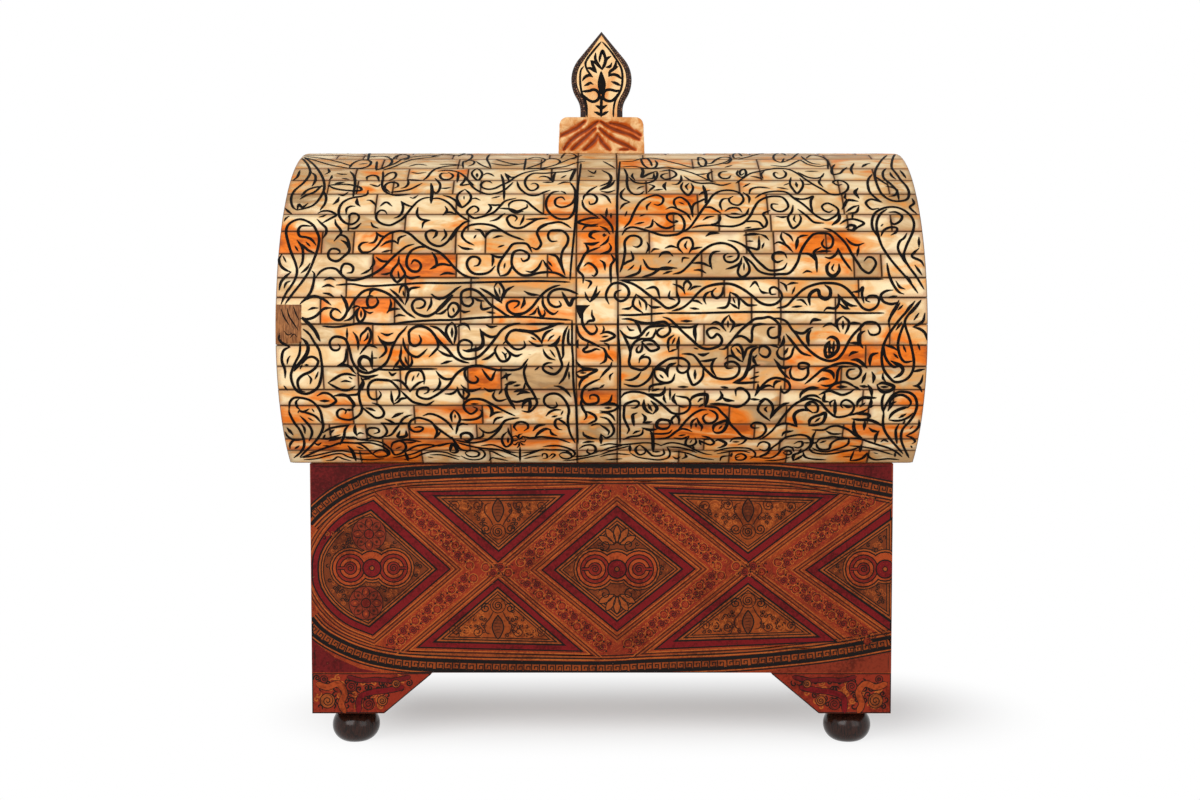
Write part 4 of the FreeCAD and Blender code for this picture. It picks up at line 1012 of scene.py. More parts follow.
lowerLines = (  # the lower courses
    (302,317,306,319,312,318,317,315,321,311,325,308,331,308), (344,321,350,319,354,315,357,310,360,307),
    (341,313,338,310,334,309,331,312,331,316,334,319,340,320,344,317,347,311,347,305,344,300,341,295),
    (360,307,357,312,357,318,360,322,364,318,365,312,361,307), (352,308,357,306,360,307), (362,307,366,308,371,308),
    (366,311,369,313,373,312), (394,317,399,315,405,316),
    (303,329,309,334,314,342,319,350,321,359,322,369,321,378,318,387,312,392,305,394,297,391,293,385,291,378,291,374,
     295,363,299,355,300,349,300,342),
    (290,347,284,350,282,355,282,362,284,367,285,371,
     285,378), (287,364,288,359,290,356),
    (280,333,279,338,281,342,284,344,290,347),
    (302,364,307,358,313,357,318,361,316,367,
     310,372,303,375,298,380,298,386,301,391,305,392),
    (292,368,298,365,303,362), (300,369,302,365), (318,372,317,375,315,379), (308,375,311,379,310,384),
    (284,386,287,390),
    (338,344,340,347,338,350,333,350,330,346,330,341,334,337,340,337,345,339,348,345,350,352,352,360,355,366,360,371,
     367,373,374,371,380,368,386,363,390,355,392,348,396,340,400,334,404,330,407,326),
    (346,349,346,356,344,362,337,366), (337,366,344,365,350,367,353,371,356,374), (353,332,356,336,358,342,358,350),
    (360,341,361,335,365,331,368,328,371,333,370,340,368,344,363,350,360,354), (368,333,367,338,364,341),
    (364,348,369,345,373,346,
     377,348), (372,358,377,358), (378,336,381,341,385,346,386,351,383,355,379,358),
    (380,339,386,343,391,343,395,341), (381,333,387,335,393,333),
    (419,335,421,340,419,344,414,346,410,343,409,337,409,332,413,328,419,326,427,328,433,333,437,340,438,347,434,352,
     429,357),
    (403,338,404,345,407,351,411,355,417,357,422,354,427,349),
    (401,346,401,352,400,358,402,363,406,367,
     410,366,412,362,411,356), (405,357,406,361,408,365),
    (400,358,398,362,393,369), (394,367,400,367,405,369), (328,383,334,379,341,375,347,374,356,376),
    (341,382,345,381,351,382), (328,383,335,387,342,390,349,390,355,386), (349,377,352,379),
    (357,373,361,376,368,377,378,375), (362,380,366,379,370,379),
    (406,385,406,378,409,372,415,370,421,371,424,377,424,384), (412,381,414,376), (417,377,419,373),
    (448,311,449,316,452,317,456,314,459,309,457,304,452,303,448,308,448,312), (436,314,442,313,448,308),
    (459,309,464,312,470,311), (529,315,534,313,537,308), (538,306,539,312,542,317,545,313,544,310),
    (583,312,582,319,583,325,586,330,591,334,595,333,597,329,595,325), (592,310,592,315,594,320,589,321,585,325),
    (577,325,578,332,582,338,590,342,600,347), (588,342,587,347,583,350,585,352,591,351,596,349,600,350),
    (430,326,437,328,443,333,448,339,453,345), (430,331,435,336,441,343,448,350,454,357,461,361,469,363),
    (438,350,444,354,453,357), (441,364,447,362,452,361), (452,322,447,327,446,332,449,339,453,345),
    (452,322,455,326,456,332,455,339,454,344), (457,327,462,324,467,325,470,330), (480,330,486,335,492,337,497,335),
    (486,325,491,327,497,326),
    (471,349,472,344,469,341,463,340,459,343,458,348,459,353,463,358,470,359,478,357,484,352,491,344,497,336,502,330,
     508,326,514,324,520,323),
    (524,341,525,346,521,349,515,349,510,345,506,340,507,336,510,332,515,330,522,331,529,332,535,335,540,340,542,344),
    (519,329,527,331,537,331,544,329,552,326,560,323), (529,341,533,344,538,346,543,346), (531,337,536,340),
    (542,343,543,338,546,333,553,329), (548,341,550,338,554,335),
    (548,346,555,346,558,351,560,358,562,365,560,370,555,374,548,373,
     543,369,544,365,548,363,552,363),
    (543,349,545,354,549,358,555,360), (550,350,553,354,555,357), (548,366,553,369), (535,370,539,367),
    (568,326,565,332,563,342,563,350,563,356,561,360), (569,329,568,338,569,344,574,345),
    (569,362,567,370,564,378,559,384), (569,372,569,379), (554,386,560,387,566,391,571,397),
    (498,345,495,350,497,356,501,361,506,361,510,356,508,351,504,348), (502,352,505,355,506,360), (505,355,507,353),
    (482,360,488,358,493,354,496,350), (504,347,510,353,516,356,522,354), (503,344,506,341),
    (528,359,525,363,521,368,514,370,505,370,497,370,489,368,481,366,473,366,466,368,460,371,454,377,449,385,441,392,
     435,396,428,399,421,398,417,395,418,390,422,388,428,388,428,392,424,394),
    (475,376,478,379,477,382,473,383,468,381,465,376,465,371,468,368), (482,369,486,375,491,380,494,374,496,370),
    (527,364,524,371,525,378,527,384,531,390,535,397,537,403,534,408,529,412,522,411),
    (436,371,440,376,445,379,450,379,454,377), (439,378,440,383,438,388,433,392),
    (576,360,578,364,583,368,590,369,598,370), (576,373,580,371,587,370,597,370,590,374,584,377,579,377,576,373),
    (580,373,586,373), (579,389,580,383,583,379,588,377), (600,334,606,332,611,333,615,336,610,339,605,341,600,341),
    (602,337,608,336), (604,343,608,345,609,350), (600,347,604,349,607,355,610,358,613,361),
    (605,350,606,356,605,361,600,364), (612,362,610,367,605,372,600,378), (613,373,610,376,
     610,380),
    (603,326,604,329,602,333),
    (622,319,629,319,636,321,644,323,653,323,660,322,665,322,669,326,670,331,667,335,662,337,658,335,657,332,660,329,
     664,328),
    (633,320,638,325,640,330,641,335), (620,330,624,335,631,338,638,337,642,334,645,330,649,327,657,326,668,326),
    (627,326,630,330,634,330),
    (656,329,655,333,652,338,646,339,641,339,635,342,631,349,630,356,629,362,631,367,636,369,642,370,647,367,650,362,
     649,358,644,357,640,359,639,363),
    (639,359,642,356,645,354), (622,333,626,340,629,347,630,354),
    (641,342,647,340,653,341,656,344,659,348,651,351,646,347,642,342), (647,344,653,344),
    (642,343,642,349,640,352,637,352,637,348,639,346), (674,335,669,339,668,344,669,352), (669,352,674,350,677,349),
    (672,344,675,338),
    (663,317,669,319,675,324,683,332,692,340,700,347,707,349,714,348,720,345,722,340,720,336,717,334,714,337,711,338,
     708,335,707,331,711,328,716,328,720,330),
    (681,321,692,321), (711,324,715,322,720,324,725,330), (729,315,724,320,722,325,726,331),
    (729,315,731,320,734,323,733,327,730,332), (734,327,739,325,744,324),
    (719,349,724,349,729,344,734,338,740,331,748,324,755,319,763,318,769,317,775,320,780,326,780,332,779,336,773,338,
     769,336,768,331,770,328,775,327),
    (733,339,740,336,746,338,751,342,752,337,752,331,754,326,760,324,766,324), (694,348,698,349),
    (682,354,688,354,693,355,698,360,702,366,708,372,714,377,721,379,729,379,735,377,739,372,739,366,734,362,729,362,
     725,364,727,368,733,368),
    (700,361,706,361,711,360,717,358), (716,358,712,364,712,370,716,376),
    (688,367,688,374,690,380,693,385,699,382,703,376,703,368), (625,380,631,380,637,377,641,372),
    (624,384,631,386,639,386,645,383,650,378,653,372,657,367,662,363,669,359,677,358,684,359,689,364,688,370,683,373,
     679,372,677,368,679,365,682,367),
    (655,370,655,376,659,381,666,383,672,381,675,374), (725,359,729,356,735,357,739,360,743,362),
    (731,348,732,352,735,357,740,360), (731,348,735,345,739,345,742,349,743,355,743,361), (736,348,741,354),
    (743,361,745,354,747,349,
     751,347,757,346), (757,355,753,359),
    (759,352,760,347,764,346,769,349,770,353,767,357,762,356,759,353), (749,371,754,366,760,365), (755,373,759,372),
    (750,379,759,376), (733,383,745,383,759,382), (678,387,688,387), (843,316,837,321,837,326,840,332),
    (843,316,849,322,848,328,845,334), (823,327,828,324,832,324,836,327), (848,324,853,323,860,323),
    (774,318,781,319,787,322,791,328,796,334,801,341,808,349,815,355,822,359,830,361,837,359,842,354,846,347,849,341,
     854,334,860,328,865,323,871,322,876,323,880,328,879,333,874,335,870,334,868,330),
    (793,330,799,333,804,333,809,329,813,327), (786,334,790,339,794,344,
     797,348,802,353,811,356),
    (849,343,855,343,859,344,863,348),
    (805,384,810,380,816,375,822,370,829,367,837,364,845,363,853,364,859,367,861,371,859,376,853,379,848,377,847,373,
     849,370,855,369),
    (848,367,841,367,838,371,837,378,836,382,832,385,826,386,821,385), (883,373,883,378,886,382),
    (774,359,778,364,781,367,786,368,792,366), (776,362,780,369,785,375,790,379),
    (792,366,790,372,792,378,798,380,804,379,808,374,808,368,809,365,804,363,799,364,799,368,803,369,808,367),
    (770,345,775,346,779,348), (779,348,777,353,780,358,786,359,791,356,793,350,795,345), (780,337,780,343),
    (900,303,895,310,891,316,889,321,889,327),
    (915,301,908,310,900,319,894,327,889,334,884,344,882,353,882,362,884,370,889,377,895,382,903,381,909,377,913,370,
     914,362,913,354,911,345,909,337,906,328,905,321,909,314,915,307,921,300),
    (905,322,902,329,899,338,898,346,
     899,352,901,358,905,362,913,361), (902,322,899,326,896,330),
    (903,305,898,310), (919,313,914,320), (925,313,923,321,919,324,913,327), (913,327,920,329,925,333,927,340),
    (903,345,906,352), (918,344,920,350), (884,345,889,346,894,348,898,351),
    (884,346,885,356,889,363,
     894,367,900,366), (912,372,925,369), (923,375,921,382,918,385,913,386),
    (913,386,919,387,922,392), (301,424,304,428,305,434),
    (289,409,290,402,294,398,301,398,309,400,315,404,320,411,322,419,323,427,320,435,314,443,307,450,300,457),
    (289,409,289,412,291,417,295,424,299,429,302,435,304,441,304,446,301,452,294,458),
    (300,410,297,407,296,402,299,399), (298,413,299,411,303,412,309,409), (302,412,310,414,316,417,321,423),
    (300,416,305,421,310,427,312,432,311,437,309,441), (308,418,313,421), (312,409,314,412),
    (285,432,288,437,294,440,303,440), (290,449,290,445,293,441,297,440),
    (317,396,323,393,329,394,333,397,336,401,333,404,
     325,407,318,405),
    (346,395,353,395,358,394,360,388,363,380),
    (345,414,346,411,343,409,339,410,337,413,338,417,342,419,349,420,355,418,360,414,362,409,360,402,359,394,361,386,
     363,379),
    (379,391,381,394,378,399,372,399,369,396,368,388,370,383,375,380,382,380,390,381,395,385,399,390,399,396,395,401),
    (391,391,392,400,394,405), (394,404,398,402,401,399,409,398), (401,391,407,397,413,402,420,404,427,405,434,401),
    (392,380,400,381,405,385,410,392), (410,392,414,387,419,383,424,381),
    (372,403,378,405,382,409,384,413,382,417,376,418,370,414,364,409,361,406), (385,419,392,422,396,424),
    (381,423,389,424,396,424,408,423), (399,425,403,419,408,416,412,415),
    (381,423,385,427,387,432,383,437,377,438,
     370,436,367,433,368,429,373,428,378,429,379,432,374,434),
    (400,424,396,429,391,435,385,437), (372,437,365,440,357,440), (423,416,429,414,435,415,443,419,449,424,453,430),
    (414,428,419,427,423,428,421,431,415,432,410,429,409,425,411,421,417,418,424,419,431,422,435,427,437,432,434,439),
    (323,433,329,429,337,427,344,426,350,425), (349,425,345,430,344,436,340,445), (320,439,328,439,334,437,340,435),
    (357,435,360,433,364,434), (300,458,309,455,320,450,332,446,341,443,350,443,359,444,366,448,373,455),
    (351,443,360,443,370,443,378,445,
     385,448,389,452,389,455,386,457),
    (373,454,375,452,381,450,386,452,388,455,383,457,377,457,373,454),
    (391,448,393,443,399,441,404,443,406,448,402,453,395,455,392,451,391,448), (396,449,401,447),
    (392,444,399,441,408,440,421,442), (406,452,414,447,423,445,434,445), (461,385,464,388,470,391,476,390,481,388),
    (484,388,489,391,496,390), (495,391,493,396,496,400,500,401,507,399),
    (457,387,459,393,462,397,465,399,469,394,466,391,461,389), (445,394,451,394,455,392,458,388),
    (473,407,477,409,475,412,471,414,467,412,464,408,464,404,469,400,475,399,483,400,491,404,500,409,508,413,515,416),
    (471,404,478,404), (460,420,469,420,476,419,481,416,482,412,480,410), (490,417,495,413,502,412),
    (493,424,496,419,503,417), (479,428,484,432,489,433,495,431,500,427,505,421,511,419,519,418),
    (503,424,499,430,493,436,487,440,480,442,472,443,463,442,455,440), (483,432,483,436,479,438,473,439),
    (454,410,451,415,452,422), (454,410,458,414,460,419,458,425,456,434), (456,430,458,426,462,424,468,425),
    (430,422,435,426,441,431,448,436,455,441), (441,431,438,435,434,439),
    (452,437,454,441,457,445,460,449,466,451,472,451),
    (465,453,469,451,474,451,479,453,478,456,473,457,468,456,465,453),
    (458,443,469,446,479,448,489,449,499,450,508,453,520,458),
    (507,432,503,436,502,441,506,447,511,444,512,438,509,433,508,428),
    (517,431,514,427,517,423,522,422,527,424,528,428,524,431), (522,436,530,438,541,437,550,438,558,439,570,443),
    (556,402,557,406,552,408,547,406,544,402,545,397,550,394,557,394,562,397,567,404,569,411,568,417,568,424,570,433,
     575,443),
    (546,416,550,412,555,410,561,410), (563,411,561,415), (562,418,556,420,555,425,558,429,562,430),
    (557,419,563,422,568,427), (510,400,516,402,522,401,527,400), (525,383,524,388,523,390),
    (590,399,590,396,594,395,598,397,598,402,593,404,586,404,582,399,582,393,
     585,387,591,383,600,379),
    (588,391,594,389,600,388), (582,398,581,403,583,409,586,414,586,418,584,420),
    (584,411,590,413,595,416,596,420,588,424), (591,426,596,424,600,424),
    (579,449,584,446,591,445,595,447,595,452,591,454,587,452,588,449),
    (543,447,550,446,558,446,567,448,573,451,575,454,573,457),
    (559,455,562,453,567,453,571,455,572,457,567,459,562,458,559,455), (612,395,610,401,605,404,600,405),
    (600,405,607,404,614,404,618,407,615,410,
     607,412,600,411), (600,413,607,413,612,416,615,421),
    (600,417,607,419,612,425,614,431,611,436,606,438,602,435), (600,425,605,428,609,432,608,435),
    (621,398,624,394,630,392,638,392,646,394,653,398,660,403,667,409,672,413,678,414,684,413,689,409,690,402,687,398,
     682,397,676,396),
    (678,405,682,407,687,407),
    (631,408,635,408,638,406,639,403,636,401,631,402,625,405,624,411,624,418,627,425,629,430,627,434),
    (643,429,642,434,638,436,630,437,623,440), (650,434,656,434,663,434,669,433,672,430),
    (654,439,660,439,667,438,672,435,677,431,682,429,688,430,692,432), (674,438,682,439,689,436),
    (670,426,672,419,676,416,679,419,679,425), (677,431,681,427,685,422,690,417,695,413,702,410,707,410),
    (705,407,711,407,717,408,722,413,727,418,731,425,736,430,742,436,750,439,758,438,763,435,766,430,764,425,760,423,
     754,423,751,426,753,428,759,428),
    (708,414,705,415,703,418,706,423,712,423,717,419,717,415,714,412,709,410),
    (710,404,719,404,727,405,737,407,743,405,749,399,749,395,745,390,
     740,388,736,390,736,396),
    (749,399,760,400), (649,392,650,387,654,385,662,384,666,384), (697,418,692,422,691,429),
    (697,418,699,423,702,427,701,431), (689,437,686,441,686,445,691,446,696,443,695,438), (690,443,692,440),
    (699,440,704,443,711,445,714,443,713,441,709,438,702,436), (702,439,709,440),
    (730,442,733,439,740,438,746,439,743,443,738,445), (640,445,636,448,636,452,640,455,645,453,645,450),
    (640,445,645,449,649,453,653,456,660,456,
     664,454,663,449),
    (735,457,737,455,742,454,746,457,743,460,737,460,735,457), (720,461,722,457,730,456),
    (757,447,760,443,764,442,769,444,769,448,
     765,451,759,449),
    (757,394,760,389,764,384,769,380,775,378,782,379,788,382,790,387,788,391,784,393,781,390,781,386),
    (761,390,766,386,771,386,774,388), (823,394,828,390,833,385,838,383,844,382,850,384,856,388),
    (855,389,849,393,842,395,836,393,830,391,825,392,819,395), (800,400,808,396,816,396,821,399),
    (760,440,766,436,772,431,777,425,782,418,788,411,794,405,801,401,808,399,815,400,821,403,825,408,830,413,836,417,
     842,417,849,415,853,411,854,406,851,402,846,400,842,402,841,406,843,408),
    (759,402,765,399,771,403,773,409,770,419), (766,399,760,404,758,410,761,414,770,421),
    (776,427,782,424,789,424,797,427), (812,413,817,412,818,407,815,403,810,402,806,405,806,408,813,413),
    (831,407,830,403,834,400), (868,409,862,412,855,414,848,416), (886,392,883,397,882,405,884,414),
    (883,413,887,403,893,395,899,392,905,392,910,393,915,397,917,405,915,413,910,421,903,429,901,436,902,443,905,450,
     909,458),
    (884,412,883,421,884,429,890,439,897,447,903,454),
    (889,408,891,400,896,396,902,395,908,398,
     911,403,908,408), (889,420,896,421,903,420,909,417,913,413),
    (913,426,910,429), (899,424,896,430,896,436,897,444), (919,420,919,426,915,431,906,436),
    (906,436,912,438,915,442,912,444),
    (760,456,767,453,772,448,779,443,785,438,792,436,801,435,808,437,811,442,809,447,802,452,796,454),
    (816,431,813,437,812,444,809,450), (816,443,820,439,826,438,833,437,842,438,849,438),
    (816,443,818,448,823,450,829,449,831,444,837,440,848,439), (849,438,848,444,841,448,832,450),
    (809,448,812,452,820,454,831,454,842,452,852,450,860,447),
    (812,430,824,430,830,427,837,426,844,428,850,431,
     856,436,862,438), (826,431,832,434,842,434),
    (850,438,860,439,869,442,878,445,888,448,896,452,902,457), (867,453,870,458,876,460,888,459,899,460),
    (760,458,771,458,778,454,782,449,787,447,792,448,794,452), (783,453,787,451,791,452,791,454,787,455,783,453),
    (794,444,798,442,802,442,802,446,
     798,448,793,447), (803,452,805,457,811,459,826,460),
)
fineLines = (
    (305,156,322,158,340,162,352,166), (304,157,318,161,332,165,349,168), (303,155,330,155,360,156,392,156),
    (376,170,393,164,405,158,420,156,440,155), (383,170,395,166,404,162,414,159,440,156), (409,166,418,164,427,165),
    (411,172,418,173,426,172), (430,157,445,154,458,155,466,153), (440,164,452,164,463,165),
    (458,156,464,154,470,154,472,157,468,160,465,162), (463,168,464,161,470,160,474,161,473,164,468,166),
    (476,161,482,165,490,168), (490,154,487,159,489,163,491,168), (491,163,505,165,518,164,526,163),
    (495,159,510,163,522,164), (526,158,525,164,524,170), (527,159,535,157,543,158,545,160,541,163,533,166,526,168),
    (545,160,552,158,557,159,560,161,557,164,551,166,540,169), (526,168,540,168,551,166,562,162,575,157,582,155),
    (538,170,552,168,566,166,578,162,585,161), (561,158,563,155,567,153,574,154,576,157,572,159),
    (603,161,612,166,615,168),
    (621,161,632,161,643,158,655,158,668,161,680,164,692,167,705,166,
     718,164,727,161,731,158),
    (621,167,632,166,645,168,655,168,667,167,678,169,690,172,700,176,710,181),
    (742,156,737,153,733,155,735,158,740,157), (738,159,750,156,765,153),
    (786,155,780,153,774,155,775,160,781,162,784,158), (799,153,792,158,783,162), (801,156,806,160,812,163,820,164),
    (806,158,812,155,820,156,827,160,828,169), (771,165,786,166,797,161,800,160,808,164,818,166,828,165),
    (805,171,818,171), (777,187,788,189), (899,300,895,308,890,315), (914,302,905,312), (921,301,913,311,909,315),
    (318,315,322,310,328,308,333,308), (372,351,372,369), (347,328,347,340), (372,369,392,370,410,369,437,369),
    (303,458,314,456,323,454,332,452,341,451,354,453,364,454,373,454),
    (304,460,316,459,327,456,336,454,342,454,
     348,457,357,459,370,460,384,459),
    (326,461,333,460,338,457,343,459,351,461), (365,441,374,441,382,443,388,447,392,451), (309,453,319,451),
    (323,446,331,446), (405,443,410,443,416,442), (393,458,403,456,413,454,425,449,440,445,452,443),
    (404,460,414,458,423,454,431,452,440,452,447,453,
     452,455,460,457), (428,457,433,458),
    (430,455,441,455,450,457,459,460), (430,445,439,446,447,444,453,443),
    (461,456,467,459,474,460,481,459,485,455,
     483,451,477,448), (481,446,492,445,501,448,510,452,519,453),
    (488,451,493,452,499,455,506,458), (489,461,492,458,498,459,508,461), (520,447,520,462),
    (520,402,528,399,540,399), (543,449,550,450,558,450,566,451,572,454), (542,457,543,454,546,454,547,458,543,459),
    (549,457,553,454,555,455,551,459), (521,457,530,454,538,451,545,449), (522,453,532,452,543,449),
    (524,459,533,457,541,456), (563,461,574,460,585,458,600,455), (573,457,585,456,592,454,
     600,451),
    (600,452,610,448,622,446), (600,455,611,451,622,448,630,446), (600,457,607,455,617,454,630,455),
    (606,460,622,459), (660,446,670,443,680,444,689,447,697,451,705,454,712,455), (668,447,680,448,689,450,697,453),
    (671,452,680,452,689,454,700,458,714,460), (630,453,637,457,647,459,660,460,668,458,670,453,667,447),
    (714,452,724,449,733,448,742,448,750,449,755,453,755,456,750,459), (717,454,728,452,742,451,
     750,453),
    (750,457,760,457,770,453), (765,461,780,460,791,457), (812,448,818,451,827,452,836,450),
    (850,446,862,447,873,449,883,452,893,455), (843,457,852,457), (874,453,878,454), (854,451,852,456,850,461),
    (670,388,670,400), (668,326,678,327,692,327,698,324),
)
firmLines = (
    (581,163,580,172,578,185,577,205,575,225,573,245,571,265,570,280),
    (620,161,618,185,617,200,617,225,616,240,617,270,618,280),
    (618,280,640,280,670,279,700,279,740,279,770,278,800,279,840,279,883,279),
    (336,285,352,284,365,286,390,285,420,283,450,283,490,282,540,281,570,282),
    (665,313,700,313,740,312,770,312,800,312,850,313,884,313), (618,315,633,315,650,314,666,313),
    (322,326,335,327,350,325,360,323,378,324,392,324,407,322,420,321,440,320,450,320,475,318,497,317,530,317,541,318,
     571,320),
    (572,320,572,333,572,345,573,360,573,373,574,390,576,405,577,425,578,444),
    (618,315,618,330,619,345,620,360,620,378,620,390,620,405,620,425,620,444), (526,324,541,324,552,324,564,323),
    (600,446,609,444,620,445,633,444,645,443,
     656,444,662,446),
)
heavyLines = (
    (335,183,344,182), (339,197,337,201,333,204), (357,198,357,203,360,206), (477,173,477,177),
    (576,168,573,174,570,181), (431,183,432,190,431,203), (508,209,515,212,523,211),
    (641,167,643,171,642,177,648,174,656,171), (666,182,664,186,666,190), (796,182,797,187),
    (839,212,839,219,832,225), (858,201,848,200,844,206,842,209), (846,228,850,225,855,226,853,230,847,229),
    (858,188,855,192,859,198), (862,167,866,164,870,163), (341,295,346,303,347,311), (436,230,436,235,433,238),
    (474,238,476,235), (524,297,524,303,521,308), (562,292,570,305,573,299,
     578,297),
    (595,239,590,236,592,232,600,231), (584,243,592,244,599,242), (744,235,752,234,760,234), (764,243,762,248),
    (706,236,711,233,719,233), (798,237,796,249), (839,264,839,271,833,276,828,273,827,266,830,262),
    (810,305,809,297,812,292,818,290,820,296,826,299,830,296,830,289,825,285), (703,185,706,195,706,203),
    (301,318,308,323,315,331,319,339,320,341), (301,338,305,341,308,347,307,353,303,359,299,364,294,371),
    (361,311,361,317), (305,365,308,365), (371,366,370,360,366,357,362,357,359,362,361,367,367,371),
    (361,378,363,382,362,390), (389,372,392,375,396,373), (453,308,454,312), (452,328,452,337),
    (480,329,482,335,483,341,482,346,478,349,473,350,466,351,463,350), (560,336,557,342,553,345,548,346),
    (578,340,577,344,578,348), (501,379,506,376,511,374), (506,373,507,380), (646,336,649,332),
    (677,349,678,344,679,337), (698,324,695,328,695,335,696,341), (728,321,728,327), (698,354,703,355,709,353),
    (695,370,695,379), (655,370,660,369,665,371,668,377), (668,377,667,371,669,366,676,363), (660,375,663,378),
    (758,347,752,351,750,358,749,365,747,371,744,377,740,380,733,383), (753,356,754,361,757,365), (721,387,728,388),
    (843,321,843,329), (811,330,808,335,808,341,809,346), (810,324,813,320,821,320),
    (827,339,830,337,835,338,838,342,838,349,834,354,827,357,825,351,827,344,830,341),
    (863,348,859,342,859,336,861,333,865,331), (849,356,852,353,858,352), (870,366,870,360,872,355,878,353),
    (851,360,857,360,862,363,867,368), (823,371,829,371,833,374,834,379), (818,382,822,379,829,379),
    (866,373,864,378,862,383), (872,372,874,377,873,383), (784,336,783,343,779,348), (788,348,784,355),
    (891,361,897,364,901,366,903,370,901,374,894,378), (894,354,898,358), (287,428,293,435), (295,449,299,446),
    (314,443,318,445,321,443), (320,401,329,401), (334,396,341,395,347,396,351,400,354,405,352,409),
    (345,410,353,410), (366,408,370,409,375,411), (392,418,397,415,403,413), (400,431,398,437,406,436,406,431),
    (330,435,331,432,334,430), (325,435,323,439), (343,437,350,438,355,438,359,440), (355,425,355,432,357,436),
    (329,441,336,439,342,437), (348,446,352,451,356,461), (357,447,363,449), (405,452,407,457,408,461),
    (499,394,502,390), (463,391,464,394), (487,405,491,408,492,413,490,417),
    (461,439,461,435,465,433,470,434,472,438,468,441,464,440), (455,415,455,418),
    (450,452,451,447,453,444,456,448,457,452,
     454,453,450,452), (508,438,508,443), (495,439,502,439),
    (533,431,538,426,545,425), (535,437,540,432,546,429,551,430), (550,430,552,434,557,436), (552,417,557,416),
    (505,385,511,383,516,382), (514,386,520,385), (514,392,523,389), (517,395,523,392,530,393),
    (508,384,506,389,507,395,510,401,515,409), (522,408,524,403,529,400,530,406,528,412),
    (583,432,584,435,590,438,597,439), (583,443,588,442,594,442), (600,388,604,385), (605,408,611,408),
    (601,434,601,444), (675,394,673,399,677,405), (644,400,644,407,648,412,652,414),
    (651,401,655,405,657,409,653,414), (648,404,650,408,652,411), (637,413,633,415,633,420,634,426),
    (642,414,645,417,645,420,643,423), (643,423,652,422),
    (670,425,669,421,665,420,660,420,657,423,657,427,662,429,668,428,
     670,425), (642,428,650,430,658,429),
    (640,431,636,432,633,434), (650,431,652,434,653,443,653,452), (679,436,685,435), (672,421,673,424),
    (690,402,692,398,698,395,707,395,707,400,705,407), (698,402,701,399,703,399), (699,407,703,404),
    (720,391,722,396,720,399,716,401), (722,397,726,400,734,401), (758,384,758,390,755,396), (652,391,659,389),
    (646,394,653,395,660,395,664,392,665,387), (664,395,664,399,666,403), (696,423,696,427),
    (713,431,714,426,719,423,727,421,726,427,722,432,716,433,713,431), (722,426,719,429), (699,441,701,445),
    (693,446,694,449), (714,442,718,440,722,441,726,444,
     722,447,718,448), (733,442,739,442), (630,445,630,452),
    (653,452,660,452), (673,457,677,459,680,457), (682,459,686,457,685,454), (735,458,739,457), (732,453,731,457),
    (774,388,774,385,776,382,781,381), (800,398,801,394,806,390,811,388,819,388), (837,387,847,387),
    (854,386,860,390), (843,405,848,407,
     852,407), (767,407,765,409,767,412),
    (770,419,774,413,780,407,785,404,789,403), (797,427,795,421,794,416,797,412,803,410,808,411), (806,406,811,404),
    (809,426,810,420,814,417,820,415,825,413,825,418,822,423,816,425,809,426), (815,422,820,418),
    (825,393,824,401,829,402), (835,400,835,416), (857,407,858,402,863,398,871,398,876,398), (860,407,865,403),
    (871,398,871,403,868,409), (868,408,873,406), (860,386,868,387), (868,385,871,390,872,397),
    (877,385,882,383,888,384,894,387,890,391,883,392,879,389,877,385), (881,387,888,387),
    (855,414,864,414,869,415,870,417,867,419), (852,419,860,420,868,420,
     875,422,882,426),
    (854,420,854,429,857,435,862,438), (865,421,864,430), (869,428,873,431,879,432), (879,431,876,436,875,443),
    (881,442,884,440,888,442), (888,411,893,403,896,402), (889,419,892,414,898,410,904,408,909,407),
    (899,418,906,414), (903,424,905,421), (911,446,912,448), (782,436,784,433,793,431), (820,443,826,441),
    (812,444,818,442), (861,445,860,452), (867,453,863,458,858,460,850,461), (895,453,895,457),
    (793,461,794,455,799,453,801,449), (793,461,799,458,803,455), (804,443,810,443),
)
bandLines = (
    (588,170,594,173,596,170), (588,176,594,176), (585,195,590,190,597,186),
    (583,200,585,195,592,194,597,198,595,203,590,204,589,201), (582,200,584,207,590,212,598,217),
    (600,218,590,218,578,222,590,225,598,224), (582,230,586,226,598,226), (605,171,611,176,609,182,600,186),
    (827,347,835,348), (827,352,835,353), (830,342,829,355), (834,341,833,354), (601,191,608,192,615,190),
    (607,208,606,217), (611,213,611,218), (600,214,607,220,612,227,613,233), (600,226,606,229,610,234),
    (519,439,516,436,513,437), (519,439,519,435,522,434), (519,440,523,437,525,438), (520,441,524,442,526,440),
    (520,442,523,445,525,445), (519,442,519,446,517,448), (518,442,515,445,513,444), (518,440,514,441,512,440),
)
inkFields = (
    (576,305,590,305,586,309,583,314,580,319,577,312), (602,235,604,233,607,235,604,237),
)
lidArt = Drawing("lid")


def lidSpots(points):
    return [onLid(px, py) for px, py in pairs(points)]


def layOnLid(a, b, level):
    return onBarrel(a, b, scroll["height"] + level)


def layOnBack(a, b, level):
    return onBarrel(-a, -b, scroll["height"] + level)


for lines, width in (
    (upperLines, 1.0), (lowerLines, 1.0), (bandLines, 1.0), (firmLines, 0.85), (heavyLines, 1.3), (fineLines, 0.85),
):
    for points in lines:
        path = smoothPath(lidSpots(points), scroll["gap"])
        lidArt.stroke(path, scroll["line"] * width, ink, 0.0, (0.4, 0.4), 0.22)
for points in inkFields:
    lidArt.fill(lidSpots(points)[::-1], ink)
lidArt.lay("lidScrollFront", layOnLid, "ink", "lid")
lidArt.lay("lidScrollBack", layOnBack, "ink", "lid")

